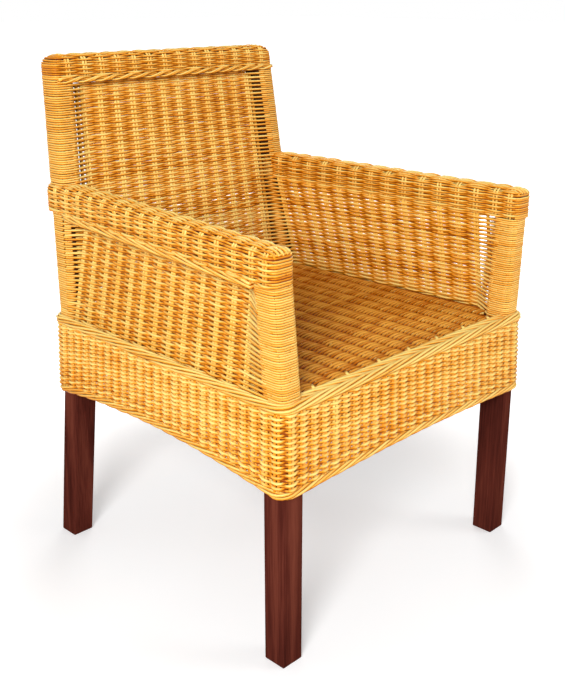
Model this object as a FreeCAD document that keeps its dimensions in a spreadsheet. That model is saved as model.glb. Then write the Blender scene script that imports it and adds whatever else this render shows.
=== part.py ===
import FreeCAD, Part
import math
import os
import re

from FreeCAD import Placement, Rotation, Vector

# Woven rattan armchair on four square hardwood legs.
# Frame: +Z up, millimetres, origin on the floor under the middle of the chair.
# The chair faces -Y, so the sitter's left hand is on the +X side.
# A hardwood seat frame carries arm posts, back posts, arm rails and a top rail.
# Rattan stakes stand in the panels, and the woven skins are plain closed solids of their outer shape.

SIZES = {
    # overall sizes
    "seat_height": 432.0,
    "back_height": 876.0,
    "seat_front_width": 618.0,
    "seat_rear_width": 582.0,
    "seat_depth": 594.0,
    # apron, the woven skirt under the seat, with its plaited edges
    "apron_wall": 8.0,
    "apron_round": 20.0,
    "hem_bottom": 286.0,
    "hem_height": 13.0,
    "hem_proud": 3.0,
    "hem_side_rise": 20.0,
    "hem_end_rise": 8.0,
    "border_height": 16.0,
    "border_proud": 2.0,
    # legs
    "leg_foot": 40.0,
    "leg_width": 41.0,
    "leg_gap": 0.5,
    "leg_splay": 16.0,
    # seat frame
    "rail_thick": 22.0,
    "rail_height": 65.0,
    "rail_setback": 3.0,
    "bearer_wide": 30.0,
    "bearer_high": 25.0,
    "block_reach": 62.0,
    "block_face": 37.0,
    "block_high": 40.0,
    "block_lift": 2.0,
    # woven seat
    "seat_thick": 9.0,
    "seat_drop": 2.0,
    "post_room": 2.0,
    # posts, measured over their wrapping
    "post_inset": 6.5,
    "post_wide": 45.0,
    "post_deep": 47.0,
    "post_round": 14.0,
    "wrap_thick": 4.5,
    "arm_flare": 0.08,
    "arm_lean": 0.018,
    "back_taper": 0.06,
    "back_rake": 0.115,
    # arms
    "arm_front_height": 653.0,
    "arm_rear_height": 664.0,
    "cover_high": 52.0,
    "cover_wall": 6.0,
    "cover_proud": 4.0,
    "cover_round": 14.0,
    "arm_rail_wide": 34.0,
    "arm_rail_high": 30.0,
    "arm_border_wide": 11.0,
    "arm_border_high": 10.0,
    "border_tuck": 2.0,
    # top of the back
    "band_high": 37.5,
    "band_wall": 6.0,
    "band_round": 12.0,
    "band_corner": 18.0,
    "top_rail_trim": 6.0,
    "band_border_high": 9.0,
    # woven panels and their stakes
    "panel_thick": 9.0,
    "panel_foot_out": 14.0,
    "panel_head_in": 19.5,
    "panel_rear_in": 15.5,
    "back_panel_inset": 25.0,
    "stake_radius": 2.5,
    "stake_pair": 6.2,
    "back_stake_pitch": 35.2,
    "side_stake_pitch": 38.0,
    "seat_stake_pitch": 33.0,
    # joints
    "gap": 0.3,
    "rail_dowel_radius": 4.0,
    "rail_dowel_length": 32.0,
    "rail_dowel_low": 11.0,
    "rail_dowel_high": 34.0,
    "post_dowel_radius": 5.0,
    "post_dowel_length": 32.0,
    "post_dowel_in_rail": 12.0,
    "bolt_radius": 3.0,
    "bolt_lift": 20.5,
    "bolt_in_leg": 24.0,
    "bolt_tail": 9.0,
    "nut_radius": 6.0,
    "nut_high": 5.0,
}

doc = FreeCAD.newDocument("RattanArmchair")
sheet = doc.addObject("Spreadsheet::Sheet", "Sizes")
for row, (alias, value) in enumerate(SIZES.items(), start=1):
    sheet.set(f"A{row}", alias)
    sheet.set(f"B{row}", str(value))
    sheet.setAlias(f"B{row}", alias)
doc.recompute()

ALIAS_WORD = re.compile(r"\b(" + "|".join(SIZES) + r")\b")
# how far a cutting tool reaches past what it cuts
OVER = 5
# share of an edge's length that has to run along an axis
MOSTLY = 0.9
SIDES = (("left", 1), ("right", -1))
UPRIGHT = Rotation(Vector(1, 0, 0), 90)
ALONG_X = Rotation(Vector(0, 1, 0), 90)
ALONG_Y = Rotation(Vector(1, 0, 0), -90)
NO_TURN = Rotation()

# Places worked out from the sizes, as formulas of the sheet.
CORE_INSET = "(wrap_thick + gap)"
CORE_WIDE = f"(post_wide - 2 * {CORE_INSET})"
CORE_DEEP = f"(post_deep - 2 * {CORE_INSET})"
BAND_REACH = f"({CORE_DEEP} / 2 + gap + band_wall)"
# The band's rounded upper edge takes a little off how far the leaning back reaches.
ROUND_LOSS = "(band_round * (back_rake + sqrt(1 + back_rake * back_rake) - 1))"
BACK_OVERHANG = (
    f"(back_rake * (back_height - seat_height) + {BAND_REACH} - post_inset - post_deep / 2 - {ROUND_LOSS})"
)
OVERALL_DEPTH = f"(hem_proud + seat_depth + {BACK_OVERHANG})"
FRONT_Y = f"(hem_proud - {OVERALL_DEPTH} / 2)"
REAR_Y = f"({FRONT_Y} + seat_depth)"
FRONT_X = "(seat_front_width / 2)"
REAR_X = "(seat_rear_width / 2)"
APRON_TOP = "(seat_height - border_height)"
APRON_FOOT = "(hem_bottom + hem_height)"
SEAT_TOP = "(seat_height - seat_drop)"
FRAME_TOP = f"({SEAT_TOP} - seat_thick)"
FRAME_FOOT = f"({FRAME_TOP} - rail_height)"
LEG_INSET = "(apron_wall + leg_gap)"
FRONT_POST_X = f"({FRONT_X} - post_inset - post_wide / 2)"
FRONT_POST_Y = f"({FRONT_Y} + post_inset + post_deep / 2)"
REAR_POST_X = f"({REAR_X} - post_inset - post_wide / 2)"
REAR_POST_Y = f"({REAR_Y} - post_inset - post_deep / 2)"
PLAN_SLANT = f"(({FRONT_X} - {REAR_X}) / seat_depth)"
FRONT_LEG_X = f"({FRONT_X} - {LEG_INSET} - leg_width / 2 - {PLAN_SLANT} * ({LEG_INSET} + leg_width))"
FRONT_LEG_Y = f"({FRONT_Y} + {LEG_INSET} + leg_width / 2)"
REAR_LEG_X = f"({REAR_X} - {LEG_INSET} - leg_width / 2)"
REAR_LEG_Y = f"({REAR_Y} - {LEG_INSET} - leg_width / 2)"
BAND_FOOT = "(back_height - band_high)"
TOP_RAIL_HEAD = "(back_height - band_wall - gap)"
TOP_RAIL_FOOT = f"({BAND_FOOT} - gap)"


def arm_post_x(z):
    return f"({FRONT_POST_X} + arm_flare * ({z} - seat_height))"


def arm_post_y(z):
    return f"({FRONT_POST_Y} + arm_lean * ({z} - seat_height))"


def back_post_x(z):
    return f"({REAR_POST_X} - back_taper * ({z} - seat_height))"


def back_post_y(z):
    return f"({REAR_POST_Y} + back_rake * ({z} - seat_height))"


# The arm cover runs from in front of the arm post to behind the back post.
COVER_FRONT_Y = f"({arm_post_y('arm_front_height')} - post_deep / 2 - cover_proud)"
COVER_REAR_Y = f"({back_post_y('arm_rear_height')} + post_deep / 2 + cover_proud)"
COVER_WIDE = "(post_wide + cover_proud)"
COVER_FRONT_X = f"({arm_post_x('(arm_front_height - cover_high / 2)')} + cover_proud / 2)"
COVER_REAR_X = f"({back_post_x('(arm_rear_height - cover_high / 2)')} + cover_proud / 2)"
COVER_FRONT_FOOT = "(arm_front_height - cover_high)"
COVER_REAR_FOOT = "(arm_rear_height - cover_high)"
ARM_RAIL_FRONT_FOOT = "(arm_front_height - cover_wall - gap - arm_rail_high)"
ARM_RAIL_REAR_FOOT = "(arm_rear_height - cover_wall - gap - arm_rail_high)"
ARM_SLOPE = f"((arm_rear_height - arm_front_height) / ({COVER_REAR_Y} - {COVER_FRONT_Y}))"
ARM_RAIL_START = f"({ARM_RAIL_FRONT_FOOT} - {ARM_SLOPE} * {COVER_FRONT_Y})"
# The rail ends where its sloping foot meets the leaning front of the back post.
ARM_RAIL_REAR_Y = (
    f"(({back_post_y(ARM_RAIL_START)} - {CORE_DEEP} / 2 - gap) / (1 - back_rake * {ARM_SLOPE}))"
)
ARM_RAIL_FRONT_Y = f"({COVER_FRONT_Y} + cover_wall + gap)"


def along_arm(front, rear, y):
    """Value at depth y on a straight line from the arm cover's front end to its rear end."""
    return f"({front} + ({rear} - {front}) * ({y} - {COVER_FRONT_Y}) / ({COVER_REAR_Y} - {COVER_FRONT_Y}))"


def arm_over_post(front, rear, middle, pick):
    """Lowest (min) or highest (max) value of a line of the arm over the depth of a post."""
    ends = [along_arm(front, rear, f"({middle} {side} post_deep / 2)") for side in "-+"]
    return f"{pick}({ends[0]}; {ends[1]})"


def linked(formula):
    """The formula with each size name pointing at its cell in the sheet."""
    return ALIAS_WORD.sub(r"Sizes.\1", str(formula))


def bind(obj, **formulas):
    for name, formula in formulas.items():
        obj.setExpression(name, linked(formula))
    return obj


def place(obj, x, y, z, turn=NO_TURN):
    obj.Placement = Placement(Vector(), turn)
    for axis, formula in zip("xyz", (x, y, z)):
        obj.setExpression(f"Placement.Base.{axis}", linked(formula))
    return obj


def upright(name, foot, head):
    """Straight or leaning post. foot and head are (x, y, z, wide, deep) of its two level ends."""
    x0, y0, z0, wide0, deep0 = foot
    x1, y1, z1, wide1, deep1 = head
    post = doc.addObject("Part::Wedge", name)
    bind(
        post,
        Ymin=z0,
        Ymax=z1,
        Xmin=f"{x0} - ({wide0}) / 2",
        Xmax=f"{x0} + ({wide0}) / 2",
        X2min=f"{x1} - ({wide1}) / 2",
        X2max=f"{x1} + ({wide1}) / 2",
        Zmin=f"-{y0} - ({deep0}) / 2",
        Zmax=f"-{y0} + ({deep0}) / 2",
        Z2min=f"-{y1} - ({deep1}) / 2",
        Z2max=f"-{y1} + ({deep1}) / 2",
    )
    post.Placement = Placement(Vector(), UPRIGHT)
    return post


def lengthwise(name, front, rear):
    """Bar that runs front to back. front and rear are (x, y, foot z, wide, high) of its two ends."""
    x0, y0, z0, wide0, high0 = front
    x1, y1, z1, wide1, high1 = rear
    bar = doc.addObject("Part::Wedge", name)
    return bind(
        bar,
        Ymin=y0,
        Ymax=y1,
        Xmin=f"{x0} - ({wide0}) / 2",
        Xmax=f"{x0} + ({wide0}) / 2",
        X2min=f"{x1} - ({wide1}) / 2",
        X2max=f"{x1} + ({wide1}) / 2",
        Zmin=z0,
        Zmax=f"{z0} + {high0}",
        Z2min=z1,
        Z2max=f"{z1} + {high1}",
    )


def box(name, x, y, z, wide, deep, high, turn=NO_TURN):
    block = doc.addObject("Part::Box", name)
    bind(block, Length=wide, Width=deep, Height=high)
    return place(block, x, y, z, turn)


def rod(name, x, y, z, radius, length, turn=NO_TURN):
    cylinder = doc.addObject("Part::Cylinder", name)
    bind(cylinder, Radius=radius, Height=length)
    return place(cylinder, x, y, z, turn)


def cut(name, base, *tools):
    """The base with every tool taken out of it, one after another."""
    for index, tool in enumerate(tools, start=1):
        last = index == len(tools)
        result = doc.addObject("Part::Cut", name if last else f"{name}_cut")
        result.Base = base
        result.Tool = tool
        base = result
    return base


def group(name, members):
    compound = doc.addObject("Part::Compound", name)
    compound.Links = members
    return compound


def rounded(name, base, radius, along, upper_only=False):
    """The base with the edges that run mostly along one axis rounded off, all of them or the upper ones."""
    doc.recompute()
    edges = []
    for index, edge in enumerate(base.Shape.Edges, start=1):
        run = edge.valueAt(edge.LastParameter) - edge.valueAt(edge.FirstParameter)
        high_enough = not upper_only or edge.CenterOfMass.z > base.Shape.CenterOfMass.z
        if high_enough and abs(run.dot(along)) > MOSTLY * edge.Length:
            edges.append((index, radius, radius))
    fillet = doc.addObject("Part::Fillet", name)
    fillet.Base = base
    fillet.Edges = edges
    return fillet


NODES = []


def node(obj, label):
    """Marks an object as one finished piece. Its label names the file that is written."""
    obj.Label = label
    NODES.append(obj)
    return obj


# Legs and posts

def post_core(kind, sign):
    """Leaning post under its wrapping, as (x, y) formulas of a height, on one side of the chair."""
    x, y = (arm_post_x, arm_post_y) if kind == "arm" else (back_post_x, back_post_y)
    return lambda z: f"({sign} * {x(z)})", y


def leaning(name, place_at, z0, z1, grow):
    """Piece of a post between two heights, larger all round by the formula grow than the post's core."""
    x, y = place_at
    wide = f"({CORE_WIDE} + 2 * {grow})"
    deep = f"({CORE_DEEP} + 2 * {grow})"
    return upright(name, (x(z0), y(z0), z0, wide, deep), (x(z1), y(z1), z1, wide, deep))


def leg_shape(name, x, y, splay_x, splay_y):
    """Leg that is plumb inside the apron and leans outwards, tapering, from the hem to the floor."""
    foot = (f"({x} + {splay_x})", f"({y} + {splay_y})", "0", "leg_foot", "leg_foot")
    knee = (x, y, "hem_bottom", "leg_width", "leg_width")
    head = (x, y, FRAME_TOP, "leg_width", "leg_width")
    leg = doc.addObject("Part::Fuse", name)
    leg.Base = upright(f"{name}_lower", foot, knee)
    leg.Tool = upright(f"{name}_upper", knee, head)
    leg.Refine = True
    return leg


CORNERS = []
for side, sign in SIDES:
    CORNERS.append(("front", side, sign, -1, FRONT_LEG_X, FRONT_LEG_Y, FRONT_POST_X, FRONT_POST_Y))
    CORNERS.append(("rear", side, sign, 1, REAR_LEG_X, REAR_LEG_Y, REAR_POST_X, REAR_POST_Y))

# Seat frame: rails between the legs, two bearers and a block in each corner

SIDE_RAIL_FRONT_X = f"({FRONT_X} - {LEG_INSET} - rail_setback - rail_thick / 2)"
SIDE_RAIL_REAR_X = f"({REAR_X} - {LEG_INSET} - rail_setback - rail_thick / 2)"
SIDE_RAIL_FRONT_Y = f"({FRONT_LEG_Y} + leg_width / 2)"
SIDE_RAIL_REAR_Y = f"({REAR_LEG_Y} - leg_width / 2)"
FRONT_RAIL_Y = f"({FRONT_Y} + {LEG_INSET} + rail_setback + rail_thick / 2)"
REAR_RAIL_Y = f"({REAR_Y} - {LEG_INSET} - rail_setback - rail_thick / 2)"
FRONT_RAIL_HALF = f"({FRONT_LEG_X} - leg_width / 2)"
REAR_RAIL_HALF = f"({REAR_LEG_X} - leg_width / 2)"
SIDE_RAIL_SLANT = (
    f"(({SIDE_RAIL_FRONT_X} - {SIDE_RAIL_REAR_X}) / ({SIDE_RAIL_REAR_Y} - {SIDE_RAIL_FRONT_Y}))"
)


def side_rail_inner_x(y):
    return f"({SIDE_RAIL_FRONT_X} - rail_thick / 2 - {SIDE_RAIL_SLANT} * ({y} - {SIDE_RAIL_FRONT_Y}))"


DOWEL_LEVELS = (("low", "rail_dowel_low"), ("high", "rail_dowel_high"))
rail_dowels = []
post_dowels = []
corner_bolts = []
corner_nuts = []
holes = {}


def drill(pieces, name, x, y, z, radius, length, turn):
    """Peg at (x, y, z), and the hole for it with a small clearance, noted for each piece that it joins."""
    peg = rod(name, x, y, z, radius, length, turn)
    axis = turn.multVec(Vector(0, 0, 1))
    start = [f"({at} - gap * {step:.6f})" for at, step in zip((x, y, z), axis)]
    hole = rod(f"{name}_hole", *start, f"({radius} + gap)", f"({length} + 2 * gap)", turn)
    for piece in pieces:
        holes.setdefault(piece, []).append(hole)
    return peg


for end, side, sign, ahead, leg_x, leg_y, post_x, post_y in CORNERS:
    leg_name = f"{end}_leg_{side}"
    rail_x = SIDE_RAIL_FRONT_X if end == "front" else SIDE_RAIL_REAR_X
    rail_y = FRONT_RAIL_Y if end == "front" else REAR_RAIL_Y
    leg_inner_y = SIDE_RAIL_FRONT_Y if end == "front" else SIDE_RAIL_REAR_Y
    half = FRONT_RAIL_HALF if end == "front" else REAR_RAIL_HALF
    for level, lift in DOWEL_LEVELS:
        z = f"({FRAME_FOOT} + {lift})"
        rail_dowels.append(drill(
            (leg_name, f"side_rail_{side}"), f"side_dowel_{end}_{side}_{level}",
            f"({sign} * {rail_x})", f"({leg_inner_y} - rail_dowel_length / 2)", z,
            "rail_dowel_radius", "rail_dowel_length", ALONG_Y,
        ))
        rail_dowels.append(drill(
            (leg_name, f"{end}_rail"), f"cross_dowel_{end}_{side}_{level}",
            f"({sign} * {half} - rail_dowel_length / 2)", rail_y, z,
            "rail_dowel_radius", "rail_dowel_length", ALONG_X,
        ))
    post_name = f"arm_post_{side}" if end == "front" else f"back_post_{side}"
    post_dowels.append(drill(
        (leg_name, post_name), f"post_dowel_{end}_{side}",
        f"({sign} * {post_x})", post_y, f"({FRAME_TOP} - post_dowel_length / 2)",
        "post_dowel_radius", "post_dowel_length", NO_TURN,
    ))
    # The corner block fills the angle between two rails, clears the leg and is bolted to it.
    inner_y = f"({rail_y} - {ahead} * rail_thick / 2)"
    block_end_y = f"({inner_y} + block_reach)" if end == "front" else SIDE_RAIL_REAR_Y
    inner_x = side_rail_inner_x(block_end_y)
    low_x = f"({inner_x} - block_reach)" if sign > 0 else f"(-{inner_x})"
    low_y = inner_y if end == "front" else f"({inner_y} - block_reach)"
    block_z = f"({FRAME_FOOT} + block_lift)"
    angle = math.degrees(math.atan2(sign, -ahead))
    turn = Rotation(Vector(0, 0, 1), angle)
    across = turn.multVec(Vector(1, 0, 0))
    inward = turn.multVec(Vector(0, 1, 0))
    face_x = f"({sign} * ({inner_x} - block_face))"
    face_y = f"({inner_y} - {ahead} * block_face)"
    slant = box(
        f"slant_{end}_{side}",
        f"({face_x} - block_reach * {across.x:.6f})", f"({face_y} - block_reach * {across.y:.6f})",
        f"({block_z} - {OVER})", "2 * block_reach", "block_reach", f"block_high + 2 * {OVER}", turn,
    )
    leg_room = box(
        f"leg_room_{end}_{side}",
        f"({sign} * {leg_x} - leg_width / 2 - gap)", f"({leg_y} - leg_width / 2 - gap)",
        f"({block_z} - {OVER})", "leg_width + 2 * gap", "leg_width + 2 * gap", f"block_high + 2 * {OVER}",
    )
    block = box(f"block_{end}_{side}", low_x, low_y, block_z, "block_reach", "block_reach", "block_high")
    shaped = cut(f"shaped_{end}_{side}", block, slant, leg_room)
    block_name = f"corner_block_{end}_{side}"
    tip_x = f"({sign} * ({leg_x} - leg_width / 2) - {inward.x:.6f} * bolt_in_leg)"
    tip_y = f"({leg_y} - {ahead} * leg_width / 2 - {inward.y:.6f} * bolt_in_leg)"
    bolt_z = f"({block_z} + bolt_lift)"
    to_face = f"(({face_x} - {tip_x}) * {inward.x:.6f} + ({face_y} - {tip_y}) * {inward.y:.6f})"
    into_room = Rotation(Vector(0, 0, 1), inward)
    corner_bolts.append(drill(
        (leg_name, block_name), f"bolt_{end}_{side}", tip_x, tip_y, bolt_z,
        "bolt_radius", f"({to_face} + bolt_tail)", into_room,
    ))
    nut = doc.addObject("Part::Prism", f"nut_{end}_{side}")
    nut.Polygon = 6
    bind(nut, Circumradius="nut_radius", Height="nut_high")
    nut_x = f"({tip_x} + {to_face} * {inward.x:.6f})"
    nut_y = f"({tip_y} + {to_face} * {inward.y:.6f})"
    place(nut, nut_x, nut_y, bolt_z, into_room)
    corner_nuts.append(cut(f"nut_bored_{end}_{side}", nut, holes[block_name][-1]))
    holes[block_name].insert(0, shaped)

# Arm rails and the top rail, pegged to the posts

for side, sign in SIDES:
    peg_y = arm_post_y(COVER_FRONT_FOOT)
    seat_z = along_arm(ARM_RAIL_FRONT_FOOT, ARM_RAIL_REAR_FOOT, peg_y)
    post_dowels.append(drill(
        (f"arm_post_{side}", f"arm_rail_{side}"), f"arm_peg_{side}",
        f"({sign} * {arm_post_x(seat_z)})", peg_y,
        f"({seat_z} + post_dowel_in_rail - post_dowel_length)",
        "post_dowel_radius", "post_dowel_length", NO_TURN,
    ))
    rail_mid_z = f"({ARM_RAIL_REAR_FOOT} + arm_rail_high / 2)"
    post_dowels.append(drill(
        (f"back_post_{side}", f"arm_rail_{side}"), f"rear_peg_{side}",
        f"({sign} * {along_arm(COVER_FRONT_X, COVER_REAR_X, ARM_RAIL_REAR_Y)})",
        f"({ARM_RAIL_REAR_Y} - post_dowel_in_rail)", rail_mid_z,
        "post_dowel_radius", "post_dowel_length", ALONG_Y,
    ))
    post_dowels.append(drill(
        (f"back_post_{side}", "top_rail"), f"top_peg_{side}",
        f"({sign} * {back_post_x(TOP_RAIL_FOOT)})", back_post_y(TOP_RAIL_FOOT),
        f"({TOP_RAIL_FOOT} + post_dowel_in_rail - post_dowel_length)",
        "post_dowel_radius", "post_dowel_length", NO_TURN,
    ))


def drilled(name, base):
    """The finished wooden piece, with every hole that was noted for it."""
    return node(cut(f"{name}_drilled", base, group(f"{name}_holes", holes[name])), name)


for end, side, sign, ahead, leg_x, leg_y, post_x, post_y in CORNERS:
    splay = "leg_splay" if end == "rear" else "0"
    leg_name = f"{end}_leg_{side}"
    shape = leg_shape(f"leg_{end}_{side}", f"({sign} * {leg_x})", leg_y, f"({sign} * {splay})", splay)
    drilled(leg_name, shape)

for side, sign in SIDES:
    drilled(f"side_rail_{side}", lengthwise(
        f"rail_{side}",
        (f"({sign} * {SIDE_RAIL_FRONT_X})", SIDE_RAIL_FRONT_Y, FRAME_FOOT, "rail_thick", "rail_height"),
        (f"({sign} * {SIDE_RAIL_REAR_X})", SIDE_RAIL_REAR_Y, FRAME_FOOT, "rail_thick", "rail_height"),
    ))
for end, rail_y, half in (("front", FRONT_RAIL_Y, FRONT_RAIL_HALF), ("rear", REAR_RAIL_Y, REAR_RAIL_HALF)):
    drilled(f"{end}_rail", box(
        f"rail_{end}", f"-{half}", f"({rail_y} - rail_thick / 2)", FRAME_FOOT,
        f"2 * {half}", "rail_thick", "rail_height",
    ))
for end, share in (("front", "1 / 3"), ("rear", "2 / 3")):
    rail_span = f"({SIDE_RAIL_REAR_Y} - {SIDE_RAIL_FRONT_Y})"
    near_y = f"({SIDE_RAIL_FRONT_Y} + {rail_span} * {share} - bearer_wide / 2)"
    half = side_rail_inner_x(f"({near_y} + bearer_wide)")
    node(box(
        f"bearer_{end}", f"-{half}", near_y, f"({FRAME_TOP} - bearer_high)",
        f"2 * {half}", "bearer_wide", "bearer_high",
    ), f"seat_bearer_{end}")
for end, side, *rest in CORNERS:
    block_name = f"corner_block_{end}_{side}"
    shaped, *bores = holes[block_name]
    node(cut(f"{block_name}_drilled", shaped, *bores), block_name)

node(group("rail_dowel_set", rail_dowels), "rail_dowels")
node(group("post_dowel_set", post_dowels), "post_dowels")
node(group("bolt_set", corner_bolts), "corner_bolts")
node(group("nut_set", corner_nuts), "corner_nuts")

for side, sign in SIDES:
    arm = post_core("arm", sign)
    back = post_core("back", sign)
    arm_head = arm_over_post(ARM_RAIL_FRONT_FOOT, ARM_RAIL_REAR_FOOT, arm_post_y(COVER_FRONT_FOOT), "min")
    drilled(f"arm_post_{side}", leaning(f"arm_core_{side}", arm, FRAME_TOP, arm_head, "0"))
    drilled(f"back_post_{side}", leaning(f"back_core_{side}", back, FRAME_TOP, TOP_RAIL_FOOT, "0"))
    rail_front_x = along_arm(COVER_FRONT_X, COVER_REAR_X, ARM_RAIL_FRONT_Y)
    rail_rear_x = along_arm(COVER_FRONT_X, COVER_REAR_X, ARM_RAIL_REAR_Y)
    rail_front_z = along_arm(ARM_RAIL_FRONT_FOOT, ARM_RAIL_REAR_FOOT, ARM_RAIL_FRONT_Y)
    rail_rear_z = along_arm(ARM_RAIL_FRONT_FOOT, ARM_RAIL_REAR_FOOT, ARM_RAIL_REAR_Y)
    drilled(f"arm_rail_{side}", lengthwise(
        f"arm_bar_{side}",
        (f"({sign} * {rail_front_x})", ARM_RAIL_FRONT_Y, rail_front_z, "arm_rail_wide", "arm_rail_high"),
        (f"({sign} * {rail_rear_x})", ARM_RAIL_REAR_Y, rail_rear_z, "arm_rail_wide", "arm_rail_high"),
    ))
TOP_RAIL_HALF = f"({back_post_x(TOP_RAIL_HEAD)} + {CORE_WIDE} / 2 - top_rail_trim)"
TOP_RAIL_FOOT_Y = back_post_y(TOP_RAIL_FOOT)
TOP_RAIL_HEAD_Y = back_post_y(TOP_RAIL_HEAD)
drilled("top_rail", upright(
    "top_bar",
    ("0", TOP_RAIL_FOOT_Y, TOP_RAIL_FOOT, f"2 * {TOP_RAIL_HALF}", CORE_DEEP),
    ("0", TOP_RAIL_HEAD_Y, TOP_RAIL_HEAD, f"2 * {TOP_RAIL_HALF}", CORE_DEEP),
))

# Apron and its plaited edges: three rings with the same inner face

PLAN_AXIS = Vector(0, 0, 1)


def plan_block(name, grow, z0, high):
    """Closed solid of the seat's outline, larger all round by grow, between two heights."""
    front = ("0", f"({FRONT_Y} - {grow})", z0, f"2 * ({FRONT_X} + {grow})", high)
    rear = ("0", f"({REAR_Y} + {grow})", z0, f"2 * ({REAR_X} + {grow})", high)
    return lengthwise(name, front, rear)


def arch_bars(name, foot):
    """Two large round bars, along X and along Y, whose tops arch up from the height foot."""
    side_half = "(seat_depth / 2 - apron_round)"
    end_half = f"({REAR_X} - apron_round)"
    side_start = (f"(0 - {FRONT_X} - {OVER})", f"(({FRONT_Y} + {REAR_Y}) / 2)")
    end_start = ("0", f"({FRONT_Y} - {OVER})")
    ways = (
        ("side", "hem_side_rise", side_half, side_start, f"2 * ({FRONT_X} + {OVER})", ALONG_X),
        ("end", "hem_end_rise", end_half, end_start, f"(seat_depth + 2 * {OVER})", ALONG_Y),
    )
    bars = []
    for way, rise, half, start, length, turn in ways:
        radius = f"(({half} * {half} + {rise} * {rise}) / (2 * {rise}))"
        middle_z = f"({foot} + {rise} - {radius})"
        bars.append(rod(f"{name}_{way}_arch", *start, middle_z, radius, length, turn))
    return bars


def ring(name, proud, z0, high, *tools):
    block = plan_block(f"{name}_block", proud, z0, high)
    outer = rounded(f"{name}_outer", block, SIZES["apron_round"], PLAN_AXIS)
    room = plan_block(f"{name}_room", "(0 - apron_wall)", f"({z0} - {OVER})", f"({high} + 2 * {OVER})")
    return node(cut(f"{name}_ring", outer, room, *tools), name)


# The hem arches up between the corners, more along the sides than in front and behind.
hem_arches = arch_bars("hem", "hem_bottom")
apron_arches = arch_bars("apron", APRON_FOOT)
hem_head = f"({APRON_FOOT} - gap)"
hem_high = "(hem_height + hem_side_rise)"
above_block = plan_block("above_block", f"(hem_proud + {OVER})", hem_head, hem_high)
above_hem = cut("above_hem", above_block, *arch_bars("above", hem_head))
ring("apron_hem", "hem_proud", "hem_bottom", hem_high, *hem_arches, above_hem)
ring("apron", "0", APRON_FOOT, f"({APRON_TOP} - {APRON_FOOT})", *apron_arches)
ring("seat_border", "border_proud", APRON_TOP, "border_height")

# Woven arms, bands, borders and post wrappings

for side, sign in SIDES:
    arm = post_core("arm", sign)
    back = post_core("back", sign)
    front = (f"({sign} * {COVER_FRONT_X})", COVER_FRONT_Y, COVER_FRONT_FOOT, COVER_WIDE, "cover_high")
    rear = (f"({sign} * {COVER_REAR_X})", COVER_REAR_Y, COVER_REAR_FOOT, COVER_WIDE, "cover_high")
    block = lengthwise(f"cover_block_{side}", front, rear)
    skin = rounded(f"cover_skin_{side}", block, SIZES["cover_round"], Vector(0, 1, 0))
    room_ends = []
    for y in (f"({ARM_RAIL_FRONT_Y} - gap)", f"({ARM_RAIL_REAR_Y} + {OVER})"):
        x = f"({sign} * {along_arm(COVER_FRONT_X, COVER_REAR_X, y)})"
        z = f"({along_arm(ARM_RAIL_FRONT_FOOT, ARM_RAIL_REAR_FOOT, y)} - gap)"
        room_ends.append((x, y, z, "(arm_rail_wide + 2 * gap)", "(arm_rail_high + 2 * gap)"))
    rail_room = lengthwise(f"rail_room_{side}", *room_ends)
    arm_y = arm_post_y(COVER_FRONT_FOOT)
    back_y = back_post_y(COVER_REAR_FOOT)
    front_low = arm_over_post(COVER_FRONT_FOOT, COVER_REAR_FOOT, arm_y, "min")
    rear_low = arm_over_post(COVER_FRONT_FOOT, COVER_REAR_FOOT, back_y, "min")
    rear_high = arm_over_post("arm_front_height", "arm_rear_height", back_post_y("arm_rear_height"), "max")
    arm_room = leaning(
        f"arm_room_{side}", arm, f"({front_low} - {OVER})", f"({ARM_RAIL_FRONT_FOOT} + {OVER})", "gap"
    )
    back_room = leaning(f"back_room_{side}", back, f"({rear_low} - {OVER})", f"({rear_high} + {OVER})", "gap")
    node(cut(f"cover_{side}", skin, rail_room, arm_room, back_room), f"arm_cover_{side}")

    border_front_y = f"({arm_post_y(front_low)} + post_deep / 2)"
    border_rear_z = f"({COVER_REAR_FOOT} - 2 * arm_border_high)"
    border_rear_y = f"({back_post_y(border_rear_z)} - post_deep / 2 - gap)"
    border_out = "((post_wide + cover_proud - arm_border_wide) / 2 - border_tuck)"
    border_drop = "(arm_border_high + gap)"
    border_ends = []
    for y in (border_front_y, border_rear_y):
        x = f"({sign} * ({along_arm(COVER_FRONT_X, COVER_REAR_X, y)} + {border_out}))"
        z = f"({along_arm(COVER_FRONT_FOOT, COVER_REAR_FOOT, y)} - {border_drop})"
        border_ends.append((x, y, z, "arm_border_wide", "arm_border_high"))
    node(lengthwise(f"arm_edge_{side}", *border_ends), f"arm_border_{side}")

    wraps = (
        ("arm_post_wrap", arm, "seat_height", f"({front_low} - gap)"),
        ("lower_post_wrap", back, "seat_height", f"({rear_low} - gap)"),
        ("upper_post_wrap", back, f"({rear_high} + gap)", f"({BAND_FOOT} - gap)"),
    )
    for kind, core, z0, z1 in wraps:
        outside = leaning(f"{kind}_out_{side}", core, z0, z1, CORE_INSET)
        skin = rounded(f"{kind}_skin_{side}", outside, SIZES["post_round"], PLAN_AXIS)
        inside = leaning(f"{kind}_in_{side}", core, f"({z0} - {OVER})", f"({z1} + {OVER})", "gap")
        node(cut(f"{kind}_{side}_sleeve", skin, inside), f"{kind}_{side}")

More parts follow.
